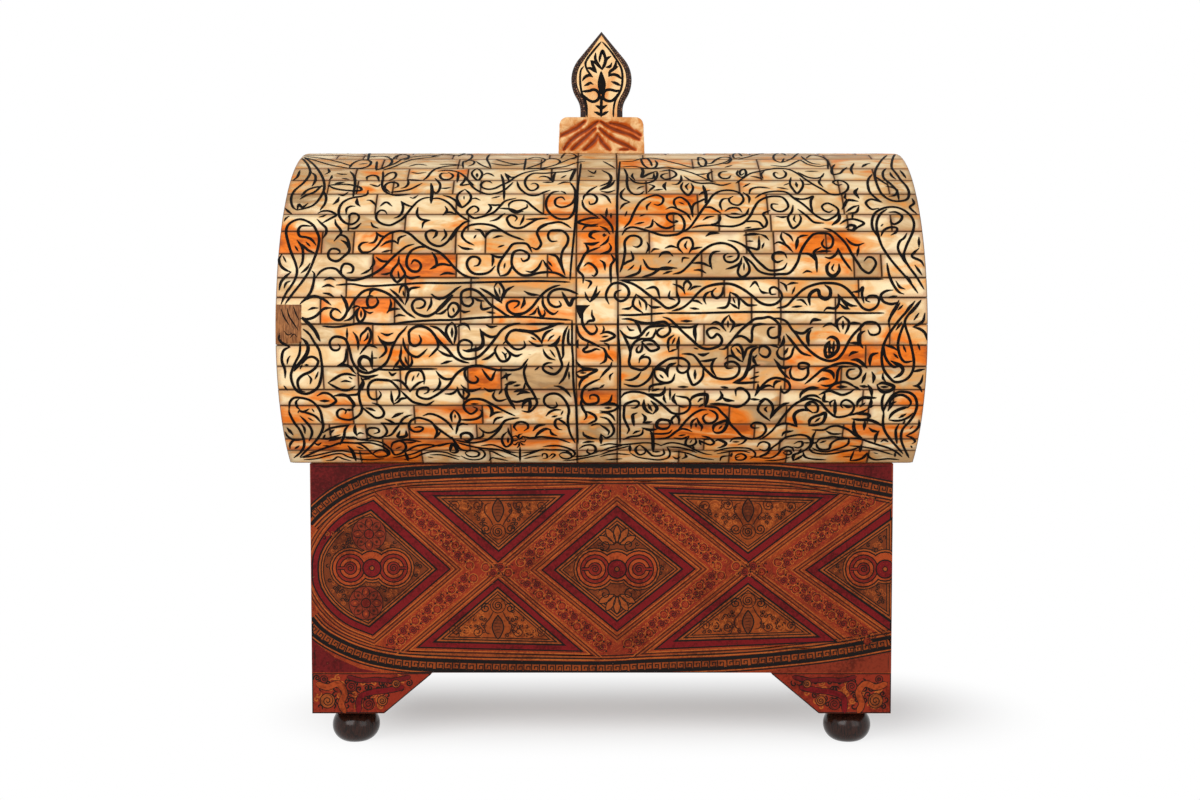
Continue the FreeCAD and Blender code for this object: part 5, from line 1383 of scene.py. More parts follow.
crown = {
    "edge": 11.5, "from": 30, "to": 177, "thin": 0.9, "start": 31, "run": 144, "beats": 10, "rows": 60, "swing": 5.4,
    "curl": 4.8, "rise": 2.4, "lean": 4.5, "bud": ((1, 6.6), (1.3, 8.2), (0.4, 9.8)), "budLine": 1.2,
}
crownArt = Drawing("crown")
for hand in (1, -1):
    for arc in (-crown["edge"], crown["edge"]):
        path = smoothPath([(hand * crown["from"], arc), (hand * crown["to"], arc)], 2.0)
        crownArt.stroke(path, crown["thin"], ink, 0.0, blunt)
    wave = []
    for k in range(crown["rows"] + 1):
        share = k / crown["rows"]
        along = hand * (crown["start"] + crown["run"] * share)
        wave.append((along, crown["swing"] * math.sin(math.pi * crown["beats"] * share)))
    crownArt.stroke(smoothPath(wave, 0.9), scroll["line"], ink)
    for n in range(crown["beats"]):
        over = 1 if n % 2 else -1
        spot = hand * (crown["start"] + crown["run"] * (n + 0.5) / crown["beats"])
        path = curl(spot, over * crown["rise"], crown["curl"], 90 * over, 1.5, -over * hand)
        crownArt.stroke(path, scroll["line"], ink)
        for lean in (-crown["lean"], crown["lean"]):
            bud = [(spot + lean * by, -over * rise) for by, rise in crown["bud"]]
            crownArt.stroke(smoothPath(bud, 0.8), crown["budLine"], ink)
crownArt.lay("lidScrollCrown", layOnLid, "ink", "lid")

veneerStrokes = (
    (281,309,284,317,289,325), (287,308,289,316,294,324,298,330), (293,306,296,314,299,320),
    (284,331,288,335,292,333), (290,338,294,334,297,337),
)
mendArt = Drawing("mend")
for points in veneerStrokes:
    mendArt.stroke(smoothPath(lidSpots(points), scroll["gap"]), mend["line"], ink, mend["level"])
mendArt.lay("veneerLines", layOnLid, "ink", "lid")
print("scrollwork:", lidArt.count + crownArt.count, "strokes")


# Ornament on the ends of the lid

gable = {
    "lines": ((6.5, 0.9), (9.0, 0.6), (24.0, 0.6), (26.5, 0.9)), "foot": 172, "sink": 0.17,
    "curls": 26, "start": -32, "sweep": 244, "upper": 95, "lower": 84, "curlFoot": 178,
    "middle": (0, 236), "petals": 12, "petal": ((9, 0.6), (16, 4.6), (24, 6.4), (32, 4.4), (40, 0.0)),
    "vein": (15, 20, 25, 30), "rings": ((7.0, 1.0), (4.2, 0.7), (58.5, 1.0)),
}
endArt = Drawing("ends")


def sectionLine(by):  # the lid's section, drawn in by a distance, from rim to rim
    side = [spot - out * by for run, spot, out in track[::20]]
    return [(-p.x, p.y) for p in reversed(side)] + [(p.x, p.y) for p in side[1:]]


for by, width in gable["lines"]:
    endArt.stroke([p for p in sectionLine(by) if p[1] > gable["foot"]], width, ink)
for n in range(gable["curls"]):
    lean = gable["start"] + gable["sweep"] * (n + 0.5) / gable["curls"]
    across, up = math.cos(math.radians(lean)), math.sin(math.radians(lean))
    a, b = gable["upper"] * across, barrel["axis"] + gable["upper" if lean > 0 else "lower"] * up
    if b > gable["curlFoot"]:
        hand = 1 if n % 2 else -1
        endArt.stroke(curl(a, b, 6.2, lean + 150 * hand, 1.4, hand), 0.95, ink)
        endArt.stroke(curl(a + 2.5 * across, b + 2.5 * up, 5.4, lean - 60 * hand, 0.4, -hand, 0.3), 0.8, ink)
middle = Vector(gable["middle"])
for n in range(gable["petals"]):
    lean = 360 / gable["petals"] * n
    out, side = spokes(math.radians(lean))
    for hand in (1, -1):
        petal = plain(middle + out * r + side * hand * w for r, w in gable["petal"])
        endArt.stroke(smoothPath(petal, 0.9), 1.0, ink, 0.0, (0.5, 0.5), 0.2)
        spot = middle + out * 50 + side * hand * 6.4
        endArt.stroke(curl(*spot, 5.0, lean + 90 * hand, 1.2, -hand), 0.9, ink)
    endArt.stroke(plain(middle + out * r for r in gable["vein"]), 0.7, ink)
for radius, width in gable["rings"]:
    endArt.ring(*gable["middle"], radius, width, ink)


def layOnEnd(side):
    return lambda a, b, level: Vector((side * (barrel["half"] - gable["sink"] + level), side * a, b)) * mm


for side, name in ((-1, "lidRosetteLeft"), (1, "lidRosetteRight")):
    endArt.lay(name, layOnEnd(side), "ink", "lid")


# Painted ornament on the base

board = {
    "front": 73.058, "half": 169.0, "top": 167.0, "apron": 44.5, "foot": 20.5, "lift": 0.05, "edge": 0.1, "rim": 0.2,
    "bracket": 70.4, "heel": 0.4, "toe": 42.05, "slope": 69.45,
}
coats = {
    "strap": tint(134, 41, 22), "crimson": tint(110, 17, 20), "black": tint(18, 12, 10), "amber": tint(138, 62, 22),
    "umber": tint(60, 26, 14), "straw": tint(168, 86, 34), "field": tint(108, 48, 20), "bistre": tint(28, 17, 12),
    "ochre": tint(146, 70, 28), "wine": tint(98, 20, 20), "red": tint(122, 32, 20), "rose": tint(124, 44, 24),
    "orange": tint(156, 64, 26),
}
coatStep, figureLevel, lineLevel = 0.016, 0.16, 0.175  # one coat over another, figures on a field, their lines
baseArt = Drawing("base")


def at(points):
    return [onUpright(px, py, -board["front"]) for px, py in pairs(points)]


def held(value, low, high):
    return max(low, min(high, value))


def onPanel(p, wide):  # no ornament past the panel
    return held(p[0], -wide, wide), held(p[1], board["apron"] + board["rim"], board["top"] - board["rim"])


def inset(outline, by):  # a convex outline drawn in by a distance
    knots = [Vector(p) for p in outline]
    area = sum(p.x * q.y - q.x * p.y for p, q in ringOf(knots))
    sides = []
    for p, q in ringOf(knots):
        inward = Vector((p.y - q.y, q.x - p.x)).normalized() * by * math.copysign(1, area)
        sides.append((p + inward, q - p))
    result = []
    for (p, along), (q, other) in zip(sides[-1:] + sides[:-1], sides):
        cross = along.x * other.y - along.y * other.x
        if abs(cross) > 1e-6:
            q = p + along * (((q - p).x * other.y - (q - p).y * other.x) / cross)
        result.append(tuple(q))
    return result


def edgeLine(art, outline, width, coat, level, skip=()):  # thin paint along every side of an outline
    for k, ends in enumerate(ringOf(outline)):
        if k not in skip:
            art.stroke(smoothPath(ends, 2.0), width, coats[coat], level, blunt)


def within(spot, outline):
    hit = False
    for (a, b), (c, d) in ringOf(outline):
        if (b > spot[1]) != (d > spot[1]) and spot[0] < (c - a) * (spot[1] - b) / (d - b) + a:
            hit = not hit
    return hit


def tendrils(art, outline, gap, pair, level, clear=()):  # curls that fill a field, the same left and right
    spread, rises = zip(*outline)
    middle = (min(spread) + max(spread)) / 2
    zone = inset(outline, gap * 0.42)
    rise = min(rises)
    row = 0
    while rise < max(rises):
        across = gap * (0.3 + 0.5 * (row % 2))
        while middle + across < max(spread):
            a, b = across + art.dice.uniform(-0.2, 0.2) * gap, rise + art.dice.uniform(-0.2, 0.2) * gap
            start, turns, hand = art.dice.uniform(0, 360), art.dice.uniform(0.7, 1.5), art.dice.choice((-1, 1))
            tone = coats[pair[row % 2 if hand > 0 else 1 - row % 2]]
            for face in (1, -1):
                spot = middle + face * a, b
                if within(spot, zone) and all(math.dist(spot, (x, z)) > r for x, z, r in clear):
                    path = curl(*spot, gap * 0.5, start if face > 0 else 180 - start, turns, hand * face)
                    art.stroke(path, gap * 0.2, tone, level, (0.6, 0.6))
            across += gap
        rise += gap * 0.82
        row += 1


fieldFrame = {
    "lines": (  # distance out, width and coat
        (1.2, 0.6, "straw"), (2.0, 0.6, "umber"), (2.9, 0.55, "ochre"), (3.7, 0.55, "umber"), (4.6, 0.5, "straw"),
    ),
    "outer": ((0, "black"), (0.85, "crimson")), "field": 2.9,
    "inner": ((-1.0, "black"), (0, "ochre"), (0.9, "bistre"), (1.6, "ochre"), (2.3, "bistre")),
}


def framed(art, outer, inner, field, pair, gap, clear=(), skip=()):  # a field of tendrils in coats of border
    for by, width, coat in fieldFrame["lines"]:
        edgeLine(art, inset(outer, -by), width, coat, 0.0, skip)
    layers = [(outer, by, coat) for by, coat in fieldFrame["outer"]]
    layers += [(inner, by, coat) for by, coat in (*fieldFrame["inner"], (fieldFrame["field"], field))]
    for n, (shape, by, coat) in enumerate(layers, 1):
        art.fill(inset(shape, by) if by else shape, coats[coat], coatStep * n)
    tendrils(art, inset(inner, fieldFrame["field"]), gap, pair, coatStep * (len(layers) + 1), clear)


def target(art, a, b, rings, level):  # discs of paint one on another
    for n, (radius, coat) in enumerate(rings):
        art.disc(a, b, radius, coats[coat], level + coatStep * n)


flower = {
    "rings": ((1.0, "bistre"), (0.95, "rose"), (0.3, "bistre"), (0.24, "red")), "raise": 0.07,
    "petal": ((0.32, 0.02), (0.55, 0.2), (0.78, 0.16), (0.92, 0.0)), "dot": (0.62, 0.08),
}


def rosette(art, a, b, radius, petals, level):
    target(art, a, b, [(radius * share, coat) for share, coat in flower["rings"]], level)
    middle, raised = Vector((a, b)), level + flower["raise"]
    reach, dot = flower["dot"]
    for n in range(petals):
        out, side = spokes(2 * math.pi * n / petals)
        for hand in (1, -1):
            petal = plain(middle + out * radius * r + side * hand * radius * w for r, w in flower["petal"])
            art.stroke(smoothPath(petal, 0.6), 0.55, coats["umber" if n % 2 else "bistre"], raised)
        art.disc(*(middle + out * radius * reach), radius * dot, coats["umber" if n % 2 else "orange"], raised)


boss = {
    "apart": 12.8, "back": (((12.6, "bistre"), (12.0, "ochre")), ((11.1, "black"), (10.3, "orange"))),
    "rings": (
        (10.3, "orange"), (8.8, "black"), (8.1, "red"), (6.5, "black"), (5.8, "orange"), (4.1, "black"), (3.5, "red"),
    ),
    "bars": (((3.6, 4.8, 6.0, 7.4), 2.2, "black", 0.33), ((3.0, 4.6, 6.2, 7.8), 1.1, "red", 0.35)),
    "heart": ((5.8, "black"), (5.0, "crimson"), (1.7, "bistre"), (1.1, "ochre")),
}


def medallion(art, a, b, scale=1.0):  # a red boss between two ringed ones
    def scaled(rings, less=0):
        return [((radius - less) * scale, coat) for radius, coat in rings]

    apart = boss["apart"] * scale
    for rings, level in zip(boss["back"], (0.15, 0.18)):
        for face in (1, -1):
            target(art, a + face * apart, b, scaled(rings), level)
        target(art, a, b + 1.5 * scale, scaled(rings, 2), level)
    for face in (1, -1):
        spot = a + face * apart
        target(art, spot, b, scaled(boss["rings"]), 0.21)
        art.stroke(curl(spot, b, 2.7 * scale, 90 - 90 * face, 1.8, face), 0.6 * scale, coats["bistre"], 0.33)
        for steps, width, coat, level in boss["bars"]:
            art.stroke([(spot + face * r * scale, b) for r in steps], width * scale, coats[coat], level, blunt)
    target(art, a, b, scaled(boss["heart"]), 0.33)
    for spot in circle(a, b, 3.4 * scale, 10):
        art.disc(*spot, 0.45 * scale, coats["red"], 0.4)


bladeEdge = ((0.15, 0.0), (0.5, 0.17), (0.85, 0.14), (1.05, 0.0), (0.85, -0.14), (0.5, -0.17))


def palmette(art, a, b, size, face):  # five leaves that fan from one root
    for lean in (-62, -31, 0, 31, 62):
        turn = math.radians(lean)
        out = Vector((math.sin(turn), face * math.cos(turn)))
        side = Vector((out.y, -out.x))
        blade = plain(Vector((a, b)) + out * size * r + side * size * w for r, w in bladeEdge)
        art.fill(blade, coats["ochre"], figureLevel)
        art.stroke(smoothPath(blade + blade[:1], 0.6), 0.6, coats["bistre"], lineLevel, blunt)
    for hand in (1, -1):
        path = curl(a + hand * size * 0.62, b + face * size * 0.05, size * 0.36, 90 - 90 * hand, 1.3, -hand * face)
        art.stroke(path, 0.65, coats["bistre"], lineLevel)


almondEdge = ((1.5, 0), (0.8, 0.5), (0, 0.72), (-0.8, 0.5), (-1.5, 0), (-0.8, -0.5), (0, -0.72), (0.8, -0.5))
wingEdge = ((2.2, 0.5), (1.2, 1.0), (0.2, 1.7), (-0.7, 1.5), (-0.9, 0.9))
wingCurls = ((2.6, "umber"), (4.1, "straw"), (5.4, "umber"))


def spindle(art, a, b, face, size):  # an almond with wings and a spiral boss toward the tip
    dark = coats["bistre"]
    almond = [(a + size * w, b + size * r) for r, w in almondEdge]
    shape = smoothPath(almond + almond[:1], 0.8)
    art.fill(shape[:-1], coats["field"], figureLevel)
    art.stroke(shape, 0.75, dark, lineLevel, blunt)
    for rise in (-0.8, -0.4, 0, 0.4, 0.8):
        bow = [(a + size * w, b + size * (rise + bend)) for w, bend in ((-0.4, 0), (0, 0.12), (0.4, 0))]
        art.stroke(bow, 0.6, dark, lineLevel)
    eye = b - face * size * 2.75
    target(art, a, eye, ((size * 1.0, "bistre"), (size * 0.9, "amber")), figureLevel)
    art.stroke(curl(a, eye, size * 0.75, 90, 2.2, 1), 0.6, dark, 0.205)
    for hand in (1, -1):
        wing = [(a + hand * size * w, b - face * size * r) for r, w in wingEdge]
        art.stroke(smoothPath(wing, 0.7), 0.75, coats["umber"], lineLevel)
        spot = a + hand * size * 1.55, eye + face * size * 0.35
        art.stroke(curl(*spot, size * 0.75, 90 + 90 * hand, 1.7, hand * face), 0.65, dark, lineLevel)
        for k, coat in wingCurls:
            spot = a + hand * size * k, b + face * size * (0.75 - 0.05 * k)
            art.stroke(curl(*spot, size * 0.8, 40 * k, 1.7, hand), 0.6, coats[coat], lineLevel)


strap = {"pitch": 8.4, "width": 9.6, "swing": 2.3, "level": -0.03, "buds": (0.1, 0.62, 0.95)}


def vine(art, start, stop):  # the running tendril inside a strap
    first, last = Vector(start), Vector(stop)
    run = (last - first).length
    along = (last - first) / run
    side = Vector((-along.y, along.x))
    lean = math.degrees(math.atan2(along.y, along.x))
    count = int(run / strap["pitch"]) * 2
    rows = count * 5
    art.stroke(smoothPath([start, stop], 3), strap["width"], coats["strap"], strap["level"], blunt)
    swings = [strap["swing"] * math.sin(math.pi * i / 5) for i in range(rows + 1)]
    wave = plain(first + along * run * i / rows + side * swing for i, swing in enumerate(swings))
    art.stroke(wave, 0.5, coats["straw"], coatStep * 2)
    for n in range(count):
        hand = 1 if n % 2 else -1
        spot = first + along * run * (n + 0.5) / count - side * hand * 1.7
        target(art, *spot, ((2.9, "orange" if n % 3 else "straw"), (2.45, "umber"), (2.1, "red")), 0.0)
        tone = coats["bistre" if n % 3 else "orange"]
        art.stroke(curl(*spot, 1.7, lean + 90 * hand, 1.5, hand), 0.45, tone, coatStep * 4)
        for step in strap["buds"]:
            bud = first + along * run * (n + step) / count + side * hand * (3.7 - step)
            tone = coats["bistre" if step > 0.7 else "straw"]
            art.stroke(curl(*bud, 1.5, lean - 90 * hand, 0.9, -hand), 0.42, tone, coatStep * 4)
        art.disc(*(spot + along * 3.2), 0.6, coats["bistre"], coatStep * 3)


key = {
    "lines": (  # distance out, width, coat and level
        (3.0, 5.2, "amber", 0.0), (0.0, 2.2, "black", 0.02), (5.9, 1.8, "black", 0.02), (7.2, 0.5, "straw", 0.0),
        (8.1, 0.8, "bistre", 0.0), (-1.7, 0.6, "straw", 0.0), (-2.6, 0.7, "bistre", 0.0), (-3.5, 0.5, "ochre", 0.0),
        (-4.4, 0.6, "bistre", 0.0),
    ),
    "pitch": 4.7, "hook": ((-2.0, 1.3), (-2.0, 4.7), (1.6, 4.7), (1.6, 2.2), (-0.3, 2.2), (-0.3, 3.5)),
}


def keyBand(art, path, out, limit):  # a hooked key pattern beside a line of the frame
    spots = [Vector(p) for p in path]
    sides = []
    for i in range(len(spots)):
        ahead = (spots[min(i + 1, len(spots) - 1)] - spots[max(i - 1, 0)]).normalized()
        sides.append((ahead, Vector((-ahead.y, ahead.x)) * out))
    for by, width, coat, level in key["lines"]:
        line = [limit(p + side * by) for p, (ahead, side) in zip(spots, sides)]
        art.stroke(line, width, coats[coat], level, blunt)
    run = 0.0
    for i in range(1, len(spots)):
        run += (spots[i] - spots[i - 1]).length
        if run > key["pitch"]:
            run -= key["pitch"]
            ahead, side = sides[i]
            hook = [limit(spots[i] + ahead * u + side * v) for u, v in key["hook"]]
            art.stroke(hook, 0.8, coats["bistre"], 0.04, blunt)


def holdFront(p):
    return onPanel(p, board["half"] - board["rim"])


ovalTop = (
    311.5,524,320,515,339.5,499.5,365,487,395,480,438,477,498,475,557,475,610,476,669,475.5,689,476,768,477.5,
    807.5,481,847,487,891.5,495.6,
)
ovalBottom = (
    312,618,322,629,339.5,640,367,651,403,658,458,661,537,662.6,610,663,649,661,728,658,788,653,837,647,891.5,637,
)
redCorners = (
    ("wine", (311,464,404,464,375,469.5,352,478.5,330,490.5,311,505)),
    ("wine", (311,637,311,672.5,382,672.5,360,668.5,335,657.5,318,645)),
    ("wine", (891.5,464,780,464,808,467.5,850,474,891.5,482.5)),
    ("rose", (891.5,652,891.5,672.5,765,672.5,790,667.5,838,661.5)),
)
for coat, points in redCorners:
    corner = [holdFront(p) for p in at(points)]
    baseArt.fill(corner, coats[coat], -0.02)
    baseArt.stroke(smoothPath(inset(corner, 1.6)[:2], 1.0), 0.4, coats["bistre"], 0.0)
keyBand(baseArt, smoothPath(at(ovalTop), 1.1), 1, holdFront)
keyBand(baseArt, smoothPath(at(ovalBottom), 1.1), -1, holdFront)
straps = (
    (474.5, 566, 390, 491), (474.5, 573.5, 390, 646), (519.5, 566.5, 607, 490), (519.5, 574, 607, 648),
    (722, 566, 627, 490), (722, 571, 627, 648), (776.5, 566.5, 872, 497), (776.5, 572, 872, 641),
    (482, 570, 512, 570), (732, 569, 766, 569),
)
for points in straps:
    vine(baseArt, *at(points))


def around(middle, *rooms):  # places that a field's tendrils keep clear of: offset and reach
    return [(middle[0] + across, middle[1] + up, reach) for across, up, reach in rooms]


eyes = at((372, 568, 617, 569, 885, 569))
leftEye, middleEye, rightEye = eyes
leftFlowers, middleFans = at((369, 534, 366, 603)), at((617, 541, 617, 597))
leftOuter = (373,636,345,624,325,606,312.5,584,311.5,570,312.5,556,325,532,345,513,373.5,499.5)
leftInner = (369,625.7,350,617,333,603,322,587,319,570,321,555,331,538,348,522,371,511)
field = {"coat": "field", "pair": ("bistre", "ochre"), "gap": 2.9, "eye": ((-13, 0, 12), (13, 0, 12))}
fields = (
    (at((451,569)) + smoothPath(at(leftOuter), 4), at((435.4,569)) + smoothPath(at(leftInner), 4),
     around(leftEye, *field["eye"]) + [(*p, 11) for p in leftFlowers], ()),
    (at((696,569,617,632,541,570,617,505)), at((681,569,617,620,556,570,617,518)),
     around(middleEye, *field["eye"]) + [(*p, 9) for p in middleFans], ()),
    (at((804.5,570,891.3,632,891.3,508)), at((820,570,891.3,620,891.3,520)),
     around(rightEye, (-12.8, 0, 12), (0, 0, 8)), (1,)),
)
for outer, inner, clear, skip in fields:
    framed(baseArt, outer, inner, field["coat"], field["pair"], field["gap"], clear, skip)
triangles = (  # outer and inner edge, middle of the spindle, the side it points to
    ((416,491,583.5,488,498,563), (436.4,496.6,561,495.6,498.7,550), (498,510), 1),
    ((498,578,415.5,648,584,652), (497.7,588.5,436.4,641,562,644), (498,627), -1),
    ((653,487,840,494,748.6,563), (673,494,819,498.6,748,552), (748,510), 1),
    ((748.6,573.5,653,650,838,642), (748,584.6,678,640,816.4,636), (748,622), -1),
)
for outer, inner, spot, face in triangles:
    tip = at(spot)[0]
    clear = around(tip, (0, 0, 7), (0, -face * 13, 9))
    framed(baseArt, at(outer), at(inner), "amber", ("bistre", "straw"), 2.8, clear)
    spindle(baseArt, *tip, face, 4.6)
for eye, scale in zip(eyes, (0.98, 1.0, 0.98)):
    medallion(baseArt, *eye, scale)
for spot in leftFlowers:
    rosette(baseArt, *spot, 10.2, 8, figureLevel)
for spot, face in zip(at((617, 546, 617, 593)), (1, -1)):
    palmette(baseArt, *spot, 11.5, face)

heel, toe, slope = (board["half"] - board[name] for name in ("heel", "toe", "slope"))
bracket = {
    "edge": ((heel, 20.9), (toe, 20.9), (slope, 43.9), (heel, 43.9)),
    "field": ((heel, 21.5), (toe + 0.6, 21.5), (slope + 4, 43.5), (heel, 43.5)),
    "stems": (
        ((142, 21.5, 141, 30, 134, 33, 126, 34, 116, 36), 3.0, "crimson"),
        ((166, 38, 160, 36, 154, 38, 150, 33, 152, 26, 150, 21.5), 3.4, "orange"),
        ((148, 42, 140, 40, 132, 40.5, 122, 40, 112, 42), 2.4, "wine"),
    ),
    "curls": (
        (160, 28, 4.6, 1), (136, 26, 3.6, -1), (128, 28, 3.2, 1),
        (146, 36.5, 3.4, -1), (120, 38, 2.6, 1), (162, 40.6, 2.4, -1),
    ),
}
for face in (1, -1):
    edge, zone = ([(face * a, b) for a, b in bracket[name]] for name in ("edge", "field"))
    baseArt.fill(edge, coats["strap"], 0.0)
    edgeLine(baseArt, edge, 0.6, "bistre", coatStep)
    tendrils(baseArt, zone, 4.2, ("bistre", "straw"), coatStep * 2)
    for points, width, coat in bracket["stems"]:
        line = smoothPath([(face * a, b) for a, b in pairs(points)], 0.8)
        baseArt.stroke(line, width + 0.9, coats["bistre"], coatStep * 3, (0.7, 0.7))
        baseArt.stroke(line, width, coats[coat], coatStep * 4, (0.7, 0.7))
    for a, b, radius, hand in bracket["curls"]:
        rings = (radius, "bistre"), (radius - 0.5, "ochre" if hand > 0 else "red")
        target(baseArt, face * a, b, rings, coatStep * 5)
        path = curl(face * a, b, radius - 0.9, 90 * hand, 1.8, hand * face)
        baseArt.stroke(path, 0.55, coats["bistre"], coatStep * 7)


def layOnBoard(side):  # on the front or the back, no paint past the wood
    def place(a, b, level):
        edge, half = board["edge"], board["half"]
        foot = board["apron"] if abs(a) < half - board["bracket"] else board["foot"]
        a, b = held(a, edge - half, half - edge), held(b, foot + edge, board["top"] - edge)
        return Vector((-side * a, side * (board["front"] + board["lift"] + level), b)) * mm
    return place


for side, name in ((-1, "basePaintFront"), (1, "basePaintBack")):
    baseArt.lay(name, layOnBoard(side), "coat", "base")
print("base ornament:", baseArt.count, "strokes")

sideArt = Drawing("sides")
sideEdge, sideMiddle = board["front"] - 0.5, (board["top"] + board["apron"]) / 2
panel = {
    "corner": ((0, 61), (34, 61), (0, 32)), "arch": (51, 30, 2.6), "rows": 120, "vine": ((8, 42), (62, 9)),
    "outer": (52, 39), "inner": (42, 31.5), "fan": (13.5, 9.5), "fanRoom": 17,
}


def holdSide(p):
    return onPanel(p, sideEdge)


for face in (1, -1):
    for hand in (1, -1):
        corner = [holdSide((hand * (sideEdge - a), sideMiddle + face * b)) for a, b in panel["corner"]]
        sideArt.fill(corner, coats["wine"], 0.0)
        edgeLine(sideArt, inset(corner, 0.8), 0.4, "bistre", coatStep)
    arch = []
    for k in range(panel["rows"] + 1):
        a = sideEdge - 2 * sideEdge * k / panel["rows"]
        high, fall, bend = panel["arch"]
        arch.append((a, sideMiddle + face * (high - fall * (abs(a) / sideEdge) ** bend)))
    keyBand(sideArt, arch[::-1], face, holdSide)
    for hand in (1, -1):
        vine(sideArt, *((hand * a, sideMiddle + face * b) for a, b in panel["vine"]))
sideField = []
for wide, tall in (panel["outer"], panel["inner"]):
    sideField.append([(wide, sideMiddle), (0, sideMiddle - tall), (-wide, sideMiddle), (0, sideMiddle + tall)])
clear = around((0, sideMiddle), *field["eye"], (0, panel["fanRoom"], 9), (0, -panel["fanRoom"], 9))
framed(sideArt, *sideField, field["coat"], field["pair"], field["gap"], clear)
medallion(sideArt, 0, sideMiddle)
for face in (1, -1):
    palmette(sideArt, 0, sideMiddle + face * panel["fan"][0], panel["fan"][1], face)


def layOnSide(side):
    def place(a, b, level):
        low, high = board["apron"] + board["edge"], board["top"] - board["edge"]
        a, b = held(a, -sideEdge, sideEdge), held(b, low, high)
        return Vector((side * (board["half"] + board["lift"] + level), side * a, b)) * mm
    return place


for side, name in ((-1, "basePaintLeft"), (1, "basePaintRight")):
    sideArt.lay(name, layOnSide(side), "coat", "base")
print("side ornament:", sideArt.count, "strokes")


# Finial: a carved block and a leaf with a beaded rim

fluteLines = (
    (85,1165,200,1110,290,1062,350,1005), (135,1300,200,1212,290,1140,380,1090,480,1008),
    (215,1300,290,1228,370,1158,450,1085), (340,1300,400,1250,450,1200,476,1150),
    (505,1012,590,1066,680,1106,790,1140,890,1190), (500,1085,570,1148,650,1196,740,1238,850,1300),
    (490,1165,530,1230,600,1300), (600,1030,700,1050,800,1088,905,1150), (700,1300,780,1292),
)
block = {
    "sheet": (550, 20, 10, -14), "near": 4.5, "voxel": 0.45, "cut": 2.1, "top": (1.0, 2.5), "foot": (21.0, 1.5),
    "half": 27.2, "deep": 13.8, "side": 2, "pitch": 6.0, "start": 18,
}


def onSheet(points, left, top, scale, depth):  # points drawn on an enlarged part of the frame
    return [onUpright(left + a / scale, top + b / scale, depth) for a, b in pairs(points)]


flutes = [[Vector(p) for p in smoothPath(onSheet(points, *block["sheet"]), 2.0)] for points in fluteLines]


def fluteDepth(x, z):  # deepest along the cut's middle, shallow at its ends
    spot, depth = Vector((x, z)), 0.0
    for line in flutes:
        for k, (p, q) in enumerate(zip(line, line[1:])):
            run = q - p
            share = min(1.0, max(0.0, (spot - p).dot(run) / run.length_squared))
            away = (spot - p - run * share).length
            if away < block["near"]:
                t = (k + share) / (len(line) - 1)
                wide = 0.9 + 1.15 * math.sin(math.pi * (0.1 + 0.75 * t))
                depth = max(depth, math.exp(-(away / wide) ** 2))
    return depth


def ramp(run, width):  # from nothing to one over a width
    return min(max(run / width, 0), 1)


def carveBlock():
    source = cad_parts["finial_block"]
    spare = bpy.data.objects.new("spareBlock", source.data.copy())
    bpy.context.collection.objects.link(spare)
    even = spare.modifiers.new("even", "REMESH")
    even.mode, even.voxel_size = "VOXEL", block["voxel"] * mm
    mesh = bpy.data.meshes.new_from_object(spare.evaluated_get(bpy.context.evaluated_depsgraph_get()))
    bpy.data.objects.remove(spare)
    top = max(v.co.z for v in mesh.vertices) / mm
    topGap, topRun = block["top"]
    footGap, footRun = block["foot"]
    points, carve = [], []
    for v in mesh.vertices:
        p, n = v.co / mm, v.normal
        down = top - p.z
        if abs(n.y) >= abs(n.x):
            groove = fluteDepth(p.x * (1 if p.y < 0 else -1), p.z)
            edge = block["half"] - abs(p.x)
        else:
            phase = (down - block["start"] + 0.9 * abs(p.y)) / block["pitch"] + 0.3 * noise.noise(p * 0.08)
            groove = (0.5 - 0.5 * math.cos(2 * math.pi * phase)) ** 1.4
            edge = block["deep"] - abs(p.y)
        fade = ramp(down - topGap, topRun) * ramp(footGap - down, footRun) * ramp(edge, block["side"])
        fade *= 1 - abs(n.z)
        points.append((p - n * block["cut"] * groove * fade) * mm)
        carve.append(groove * min(1, 0.35 + fade))
    item = piece("carvedBlock", points, [tuple(f.vertices) for f in mesh.polygons], "carved", "lid")
    keepValue(item, "carve", carve)
    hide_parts("finial_block")


carveBlock()
leafLines = (
    (460,245,380,340,310,430,285,490,300,550,340,610,365,640),
    (265,520,235,560,225,640,230,740,255,860,285,960,305,1090),
    (475,245,560,340,630,440,685,540,700,640,690,750,660,830,620,900,600,1000,597,1090),
    (400,370,395,430,415,480,470,555), (345,455,400,480,440,520,465,550), (345,455,375,520,410,590),
    (300,535,350,545,410,590), (570,405,520,440,500,500,475,550), (580,480,560,520,515,530),
    (650,520,600,550,560,580,545,630), (625,460,620,510,590,550), (545,630,590,610,640,620,690,660),
    (575,690,630,710,680,735), (365,635,320,620,280,640,250,680), (275,735,310,720,340,705,370,720),
    (245,800,320,795,380,780,420,800,440,850,420,895,370,915,310,890,270,845),
    (690,785,630,795,560,780,510,790,485,830,490,880,530,905,580,905,630,860,660,810),
    (440,470,450,410,475,345,500,400,510,440,490,510,470,560), (465,850,462,960,460,1085), (400,960,435,975,461,1010),
    (525,955,490,975,461,1010), (385,1030,425,1045,460,1075), (540,1025,500,1045,460,1075),
)
spindleEdge = (460,580,485,640,505,720,495,780,470,830,445,790,430,720,440,650)
leaf = {
    "sheet": (560, 20, 11.2, -5.9), "face": 5.93, "outer": -2.88, "inner": -5.8, "bevel": 2.9, "flat": 4.5,
    "bead": 0.6, "foot": 1.2, "tip": 1.2, "margin": 0.62, "thin": 1.15, "line": 1.5, "stems": 3,
    "rows": ((0.28, 1.32), (0.72, 1.4)), "proud": 0.06,
}


